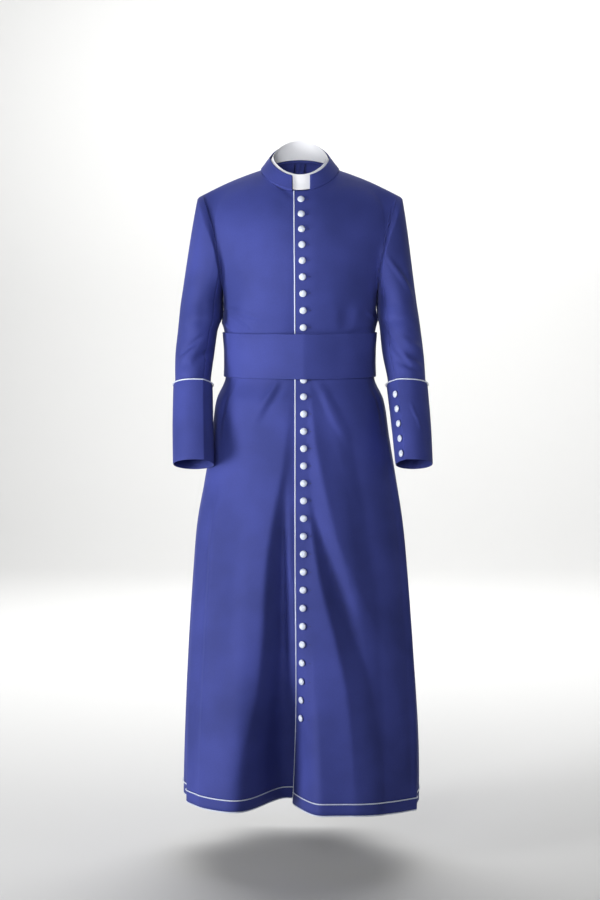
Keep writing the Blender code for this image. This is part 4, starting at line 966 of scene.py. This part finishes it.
# ---- Cuffs --------------------------------------------------------------------------------------
# Deep turned-back cuffs of the same twill, lined and pressed flat, so that each keeps a sharp crease
# in front. A white satin piping edges the top of each, and they are stitched to the sleeves inside.
CUFF_RINGS = {
    "right": (
        (-0.466, 0.2752, 0.1900, -0.032, 0.0590, 15.0),
        (-0.550, 0.2755, 0.1875, -0.063, 0.0575, 16.0),
        (-0.634, 0.2735, 0.1845, -0.092, 0.0565, 16.0),
    ),
    "left": (
        (-0.466, 0.2772, 0.1880, -0.032, 0.0590, 15.0),
        (-0.550, 0.2830, 0.1975, -0.062, 0.0575, 16.0),
        (-0.634, 0.2860, 0.2055, -0.090, 0.0565, 16.0),
    ),
}
CUFF_LENGTH = 0.168
PRESSED = {"right": 0.330, "left": 0.326}    # share of the way round at which each is pressed
# how far the pressed edge stands out, and the shares of the way round over which it falls off
PRESSED_RISE, PRESSED_OUTSIDE, PRESSED_INSIDE = 0.0085, 0.075, 0.045
# soft dents: rows of the way down, share round, half widths in shares, how far it stands out
CUFF_DENTS = {
    "right": {
        "long dent": ((0.10, 0.12, 0.04, 0.05, 0.0), (0.50, 0.14, 0.05, 0.05, -0.0016),
                      (0.95, 0.13, 0.04, 0.05, 0.0)),
        "dent behind": ((0.05, -0.30, 0.05, 0.05, 0.0), (0.45, -0.28, 0.06, 0.06, -0.0020),
                        (0.95, -0.26, 0.05, 0.05, 0.0)),
    },
    "left": {
        "bright streak": ((0.28, 0.250, 0.012, 0.014, 0.0), (0.38, 0.238, 0.014, 0.016, 0.0016),
                          (0.52, 0.205, 0.014, 0.016, 0.0018), (0.66, 0.185, 0.012, 0.014, 0.0)),
        "dent under it": ((0.40, 0.16, 0.03, 0.03, 0.0), (0.62, 0.14, 0.04, 0.04, -0.0016),
                          (0.92, 0.13, 0.03, 0.03, 0.0)),
        "dent behind": ((0.05, -0.27, 0.05, 0.05, 0.0), (0.50, -0.29, 0.06, 0.06, -0.0020),
                        (0.95, -0.30, 0.05, 0.05, 0.0)),
    },
}


def cuff_points(word, share, way, out=0.0):
    """Points on a cuff: way 0 at its top edge, 1 at the wrist"""
    side = SIDES[word]
    share, way = np.broadcast_arrays(np.asarray(share, dtype=float), np.asarray(way, dtype=float))
    rings = CUFF_RINGS[word]
    rows = [(k / (len(rings) - 1), *ring) for k, ring in enumerate(rings)]
    height, outer, inner, middle, depth, tilt = on_table(rows, way)
    away = (share - PRESSED[word] + 0.5) % 1.0 - 0.5
    out = out + bumps(CUFF_DENTS[word], way, (share + 0.5) % 1.0 - 0.5)
    # the cloth stands out to a pressed edge and turns back sharply on its inner side
    fall = np.where(away < 0, -away / PRESSED_OUTSIDE, away / PRESSED_INSIDE)
    out = out + PRESSED_RISE * np.exp(-fall)
    return ring_points((height, outer + out, inner - out, middle, depth + out, tilt), share, side)


def edge_of(points):
    """How far each row of a grid lies from the nearer of the first and last rows"""
    down = along_columns(points)
    return np.minimum(down, down[-1:] - down)


def stitched_edge(edge, roll, roll_width, dip, stitches_in, stitch_width):
    """How far the cloth sinks at a turned edge, and at the row of stitches a little way in"""
    return roll * np.exp(-edge / roll_width) + dip * np.exp(-((edge - stitches_in) / stitch_width) ** 2)


for word, side in SIDES.items():
    turn = shares(121, PRESSED[word] + np.array((-0.008, -0.004, 0.0, 0.004, 0.008)))[:-1]
    way = shares(72, 0.004, 0.009, 0.016, 0.984, 0.991, 0.996)
    points = cuff_points(word, turn[None, :], way[:, None])
    # rolled at both edges, with a row of stitches 6 mm in that draws the cloth down a little
    drawn = stitched_edge(edge_of(points), roll=0.0009, roll_width=0.0014, dip=0.0005,
                          stitches_in=0.006, stitch_width=0.0012)
    points = cuff_points(word, turn[None, :], way[:, None], -drawn)
    cuff = shell(f"cuff_{word}_cloth", points, (side, 0.0, 0.0), wool, closed=True)
    stands_for(cuff, "blue_wool", "cuff_" + word)


# ---- Collars ------------------------------------------------------------------------------------
# A stand collar of twill, turned and stitched round its edges, is cut open to a notch in front. A
# starched linen clerical collar stands inside it, and shows above it all round and in the notch.
COLLAR_FRONT_TOP = (-0.066, -0.0180)
COLLAR_SIDE_TOP = (0.0645, 0.0225)
COLLAR_BACK_TOP = (0.058, 0.0600)
COLLAR_NOTCH = (-0.0172, 0.0217)
CLERICAL_RISE = 0.005
CLERICAL_THICKNESS = 0.0012
CLERICAL_INSIDE = -0.0056     # inside the outer face of the blue collar
CLERICAL_ROLL, CLERICAL_ROLL_SHARE = 0.0006, 0.012    # how its top edge rolls in
COLLAR_ALLOWANCE, COLLAR_ALLOWANCE_INWARD = 0.004, 0.0030


def collar_points(turn, way, out=0.0):
    """Points of the stand collar: turn from the centre front, way 0 at the neckline, 1 at the top"""
    turn, way = np.broadcast_arrays(np.asarray(turn, dtype=float), np.asarray(way, dtype=float))
    sine, cosine = np.sin(np.radians(turn)), np.cos(np.radians(turn))
    low = neckline(turn) + (0.0, 0.0, SEAM_GAP)
    y_end = np.where(cosine > 0, COLLAR_FRONT_TOP[0], COLLAR_BACK_TOP[0])
    z_end = np.where(cosine > 0, COLLAR_FRONT_TOP[1], COLLAR_BACK_TOP[1])
    top = points_of(COLLAR_SIDE_TOP[0] * sine, y_end * np.abs(cosine),
                    mix(COLLAR_SIDE_TOP[1], z_end, np.abs(cosine) ** 1.3))
    around = points_of(sine, -cosine, 0.0)
    return mix(low, top, way[..., None]) + around * np.asarray(out)[..., None]


def notch_turn(x, way):
    """The turn at which the collar reaches an x, so that the notch's edges are upright"""
    return np.degrees(np.arcsin(x / mix(NECK_SIDE, COLLAR_SIDE_TOP[0], way)))


way = shares(34, 0.012, 0.024, 0.045, 0.955, 0.976, 0.988)[:, None]
round_neck = shares(150, 0.0012, 0.003, 0.006, 0.994, 0.997, 0.9988)[None, :]
turn = mix(notch_turn(COLLAR_NOTCH[1], way), notch_turn(COLLAR_NOTCH[0], way) + 360.0, round_neck)
plain_collar = collar_points(turn, way)
edge = edge_of(plain_collar)
ends = along_rows(plain_collar)
edge = np.minimum(edge, np.minimum(ends, ends[:, -1:] - ends))
drawn = stitched_edge(edge, roll=0.0009, roll_width=0.0012, dip=0.0004, stitches_in=0.0045,
                      stitch_width=0.0010)
# it bends a little unevenly round the neck, as a stiffened collar does that is hooked at one side
uneven = 0.0008 * np.sin(np.radians(turn * 3.0 + 40.0)) * way
collar_grid = collar_points(turn, way, uneven - drawn)
# its seam allowance is turned down under the body
inward = unit(collar_grid[:1] * (1.0, 1.0, 0.0)) * COLLAR_ALLOWANCE_INWARD
allowance = collar_grid[:1] - inward - (0.0, 0.0, COLLAR_ALLOWANCE)
collar_grid = np.concatenate([allowance, collar_grid])
collar = shell("collar_cloth", collar_grid, (0.0, 1.0, 0.0), wool)
stands_for(collar, "blue_wool", "collar")


def fine_weave(tree, shader, scale, strength):
    """Raises threads that are too fine to be made one by one"""
    place = add_node(tree, "TexCoord").outputs["Object"]
    threads = add_node(tree, "TexNoise", Vector=place, Scale=scale, Detail=1.0).outputs["Fac"]
    relief = add_node(tree, "Bump", Height=threads, Strength=strength, Distance=0.0002)
    tree.links.new(relief.outputs["Normal"], shader.inputs["Normal"])


# starched linen: white, smooth, with a fine plain weave and a faint gloss of starch
linen, tree, shader = new_material("starched_white_linen", "#e4e5ea", 0.42)
shader.inputs["Sheen Weight"].default_value = 0.05
fine_weave(tree, shader, 1500.0, 0.12)
turn = np.linspace(0.0, 360.0, 161)[:-1][None, :]
way = shares(30, 0.975, 0.987, 0.994)[1:, None]
rise = CLERICAL_RISE * np.maximum(way * 2.0 - 1.0, 0.0) * np.ones(turn.shape)
rolled = CLERICAL_ROLL * np.exp(-(1.0 - way) / CLERICAL_ROLL_SHARE)
clerical_grid = collar_points(turn, way, CLERICAL_INSIDE - rolled)
clerical_grid[..., 2] += rise
clerical = shell("clerical_collar_linen", clerical_grid, (0.0, -1.0, 0.0), linen, closed=True,
                 thickness=CLERICAL_THICKNESS)
stands_for(clerical, "white_linen", "clerical_collar")


# ---- Cincture -----------------------------------------------------------------------------------
# A wide band of the same twill, made double and turned in at its edges, is wrapped flat round the
# waist over the buttons and fastened out of sight. It keeps a pressed crease at the centre front.
CINCTURE_TOP = -0.3525
CINCTURE_HEIGHT = 0.0965
CINCTURE_OFFSET = 0.0042
CINCTURE_OVER_BUTTONS = 0.0085
CINCTURE_BUTTONS_WIDTH = 0.075
BUTTON_LINE = (
    (-1.180, 0.0040),
    (-1.000, 0.0062),
    (-0.800, 0.0075),
    (-0.340, 0.0068),
    (-0.060, 0.0018),
)
# shallow waves that run round the band: rows of angle, height, half widths, how far it stands out
CINCTURE_WAVES = {
    "wave on the left": (
        (18.0, -0.400, 0.012, 0.012, 0.0), (36.0, -0.392, 0.014, 0.016, -0.0014),
        (58.0, -0.386, 0.014, 0.014, 0.0)),
    "wave on the right": (
        (-64.0, -0.412, 0.012, 0.014, 0.0), (-42.0, -0.408, 0.016, 0.014, -0.0014),
        (-16.0, -0.398, 0.012, 0.012, 0.0)),
    "wave behind, left": (
        (110.0, -0.395, 0.014, 0.014, 0.0), (136.0, -0.402, 0.016, 0.016, -0.0018),
        (162.0, -0.398, 0.014, 0.014, 0.0)),
    "wave behind, right": (
        (-158.0, -0.408, 0.014, 0.014, 0.0), (-130.0, -0.400, 0.016, 0.016, -0.0016),
        (-104.0, -0.396, 0.014, 0.014, 0.0)),
}


def cincture_points(angle, height, out=0.0):
    """Points of the band, which stands off further over the buttons"""
    angle, height = np.broadcast_arrays(np.asarray(angle, dtype=float), np.asarray(height, dtype=float))
    points, outward = section(angle, mix(height, CINCTURE_MIDDLE, 0.15))
    points[..., 2] = height
    from_buttons = np.abs(points[..., 0] - on_table(BUTTON_LINE, height)[0])
    near = np.maximum(1.0 - from_buttons / CINCTURE_BUTTONS_WIDTH, 0.0)
    near = np.where(np.abs(angle) < 90.0, near, 0.0)
    away = CLOTH + CINCTURE_OFFSET + CINCTURE_OVER_BUTTONS * near ** 1.2
    away = away + bumps(CINCTURE_WAVES, angle, height)
    return points + outward * (away + out)[..., None]


near_crease = (-1.2, -0.6, -0.25, 0.25, 0.6, 1.2)
turn = np.unique(np.concatenate([np.linspace(-180.0, 180.0, 241), near_crease]))[:-1]
height = CINCTURE_TOP - CINCTURE_HEIGHT * shares(48, 0.008, 0.018, 0.034, 0.966, 0.982, 0.992)
band = cincture_points(turn[None, :], height[:, None])
drawn = stitched_edge(edge_of(band), roll=0.0010, roll_width=0.0016, dip=0.0005, stitches_in=0.005,
                      stitch_width=0.0011)
band = cincture_points(turn[None, :], height[:, None], -drawn)
cincture = shell("cincture_band", band, (0.0, 1.0, 0.0), wool, closed=True)
stands_for(cincture, "blue_wool", "cincture")


# ---- Piping -------------------------------------------------------------------------------------
# Narrow bias piping of white satin over a cord: down the lap's edge, round both cuffs, and twice
# round the hem, once on the line of the hem band and once along its lower edge. All is sewn in.
PIPING = 0.0026
OVER = PIPING / 2.0 + SEAM_GAP
PIPING_SUNK_CUFF, PIPING_SUNK_HEM = 0.0004, 0.0006    # into the soft cloth
satin, tree, shader = new_material("white_satin_covering", "#c6cee0", 0.34)
shader.inputs["Sheen Weight"].default_value = 0.10
shader.inputs["Specular IOR Level"].default_value = 0.55
fine_weave(tree, shader, 1800.0, 0.15)


def piping(name, points, closed=False):
    """A round tube of piping through points, in place of its plain node"""
    curve = bpy.data.curves.new(name + "_satin", "CURVE")
    curve.dimensions = "3D"
    line = curve.splines.new("POLY")
    line.points.add(len(points) - 1)
    line.points.foreach_set("co", np.column_stack([points, np.ones(len(points))]).ravel())
    line.use_cyclic_u = closed
    line.use_smooth = True
    curve.bevel_depth = PIPING / 2.0
    curve.bevel_resolution = 3
    curve.use_fill_caps = True
    curve.materials.append(satin)
    stands_for(add_object(name + "_satin", curve), "white_satin", name)


down = shares(420)[1:]
edge = front_left.cloth(0.0, down, PIPING / 2.0 - CLOTH)
beside = front_left.cloth(0.01, down, PIPING / 2.0 - CLOTH)
piping("front_piping", edge + unit(edge - beside) * OVER)
for word in SIDES:
    turn = np.linspace(0.0, 1.0, 121)[:-1]
    piping("cuff_piping_" + word, cuff_points(word, turn, 0.0, OVER - PIPING_SUNK_CUFF), closed=True)


def round_the_hem(v, out, drop):
    """Points round the hem, from the lap's edge by the wearer's left, the back and the right, to a
    little way under the lap"""
    points = np.concatenate([front_left.cloth(np.linspace(0.0, 1.0, 130) ** 1.2, v, out),
                             back_left.cloth(np.linspace(1.0, 0.0, 90), v, out),
                             back_right.cloth(np.linspace(0.0, 1.0, 90), v, out)[1:],
                             front_right.cloth(np.linspace(1.0, 0.05, 110), v, out)])
    return points - (0.0, 0.0, drop)


piping("hem_line_piping", round_the_hem(HEM_LINE_V, OVER - PIPING_SUNK_HEM, 0.0))
piping("hem_edge_piping", round_the_hem(1.0, -CLOTH / 2.0, OVER))


# ---- Buttons ------------------------------------------------------------------------------------
# Covered buttons, 15 mm across: a domed metal shell with the white satin drawn tight over it and
# gathered under the rim. There are 31 down the front and 5 on each cuff, all sewn on with a shank.
BUTTON_DIAMETER, BUTTON_HEIGHT = 0.015, 0.0058
BUTTON_SEAT = 0.0006      # its flat back stands this far off the cloth
FRONT_BUTTONS, CUFF_BUTTONS = 31, 5
BUTTON_HEIGHTS = (
    (0, -0.0680),
    (2, -0.1310),
    (5, -0.2315),
    (8, -0.3385),
    (11, -0.4510),
    (13, -0.5225),
    (20, -0.7820),
    (26, -1.0130),
    (30, -1.1760),
)
CUFF_BUTTON_PITCH, CUFF_BUTTON_FIRST = 0.0310, 0.030
CUFF_BUTTON_SHARE = {"left": 0.352, "right": 0.66}
# half profile of a button: share of the radius, share of the height
BUTTON_PROFILE = ((0.42, 0.0), (0.60, 0.06), (0.86, 0.20), (0.97, 0.32), (1.0, 0.44), (0.96, 0.58),
                  (0.84, 0.74), (0.66, 0.87), (0.42, 0.955), (0.20, 0.99))
button_mesh = bpy.data.meshes.new("covered_button")
turned = bmesh.new()
SEGMENTS = 28
RADIUS, STEP = BUTTON_DIAMETER / 2.0, math.tau / SEGMENTS
rings = [[turned.verts.new((r * RADIUS * math.cos(k * STEP), r * RADIUS * math.sin(k * STEP),
                            h * BUTTON_HEIGHT))
          for k in range(SEGMENTS)] for r, h in BUTTON_PROFILE]
for low, high in zip(rings, rings[1:]):
    for k in range(SEGMENTS):
        turned.faces.new((low[k], low[(k + 1) % SEGMENTS], high[(k + 1) % SEGMENTS], high[k]))
crown, foot = turned.verts.new((0.0, 0.0, BUTTON_HEIGHT)), turned.verts.new((0.0, 0.0, 0.0))
for k in range(SEGMENTS):
    turned.faces.new((rings[-1][k], rings[-1][(k + 1) % SEGMENTS], crown))
    turned.faces.new((rings[0][(k + 1) % SEGMENTS], rings[0][k], foot))
turned.to_mesh(button_mesh)
turned.free()
button_mesh.shade_smooth()
button_mesh.materials.append(satin)


def covered_button(name, point, outward):
    """A button on the cloth, facing outward"""
    button = add_object(name + "_covered", button_mesh)
    turned_out = Vector(outward).to_track_quat("Z", "Y").to_matrix().to_4x4()
    button.matrix_world = Matrix.Translation(point) @ turned_out
    stands_for(button, "white_satin", name)


heights = on_table(BUTTON_HEIGHTS, np.arange(FRONT_BUTTONS))[0]
u, v = front_left.find(on_table(BUTTON_LINE, heights)[0], heights)
outward = front_left.outward(u, v)
for number, (point, way_out) in enumerate(zip(front_left.cloth(u, v, BUTTON_SEAT), outward)):
    covered_button(f"front_button_{number + 1:02d}", point, way_out)
# the hand-worked end of its hole shows beside each button: a bar of blue silk twist, 6 mm long
BAR_LENGTH, BAR_WIDTH, BAR_FROM_BUTTON, BAR_RISE = 0.006, 0.0013, 0.0145, 0.0002
bar_size = Matrix.Diagonal((BAR_LENGTH / 2.0, BAR_WIDTH / 2.0, BAR_WIDTH / 2.0, 1.0))
bars = bmesh.new()
ends = front_left.cloth(*front_left.find(on_table(BUTTON_LINE, heights)[0] + BAR_FROM_BUTTON, heights),
                        BAR_RISE)
for point, button, way_out in zip(ends, front_left.cloth(u, v), outward):
    along = unit(point - button)
    axes = Matrix([Vector(axis) for axis in (along, np.cross(way_out, along), way_out)]).transposed()
    bmesh.ops.create_uvsphere(bars, u_segments=10, v_segments=8, radius=1.0,
                              matrix=Matrix.Translation(point) @ axes.to_4x4() @ bar_size)
bar_mesh = bpy.data.meshes.new("buttonhole_bars")
bars.to_mesh(bar_mesh)
bars.free()
bar_mesh.shade_smooth()
bar_mesh.materials.append(new_material("blue_silk_twist", "#1d2350", 0.5)[0])
bar_piece = add_object("buttonhole_bars", bar_mesh)
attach(bar_piece, "root")
for word, side in SIDES.items():
    share = CUFF_BUTTON_SHARE[word]
    way = (CUFF_BUTTON_FIRST + CUFF_BUTTON_PITCH * np.arange(CUFF_BUTTONS)) / CUFF_LENGTH
    around = cuff_points(word, share + 0.01, way) - cuff_points(word, share - 0.01, way)
    down = cuff_points(word, share, way + 0.05) - cuff_points(word, share, way - 0.05)
    outward = unit(np.cross(around, down) * side)
    for number, (point, way_out) in enumerate(zip(cuff_points(word, share, way, BUTTON_SEAT), outward)):
        covered_button(f"cuff_button_{word}_{number + 1}", point, way_out)
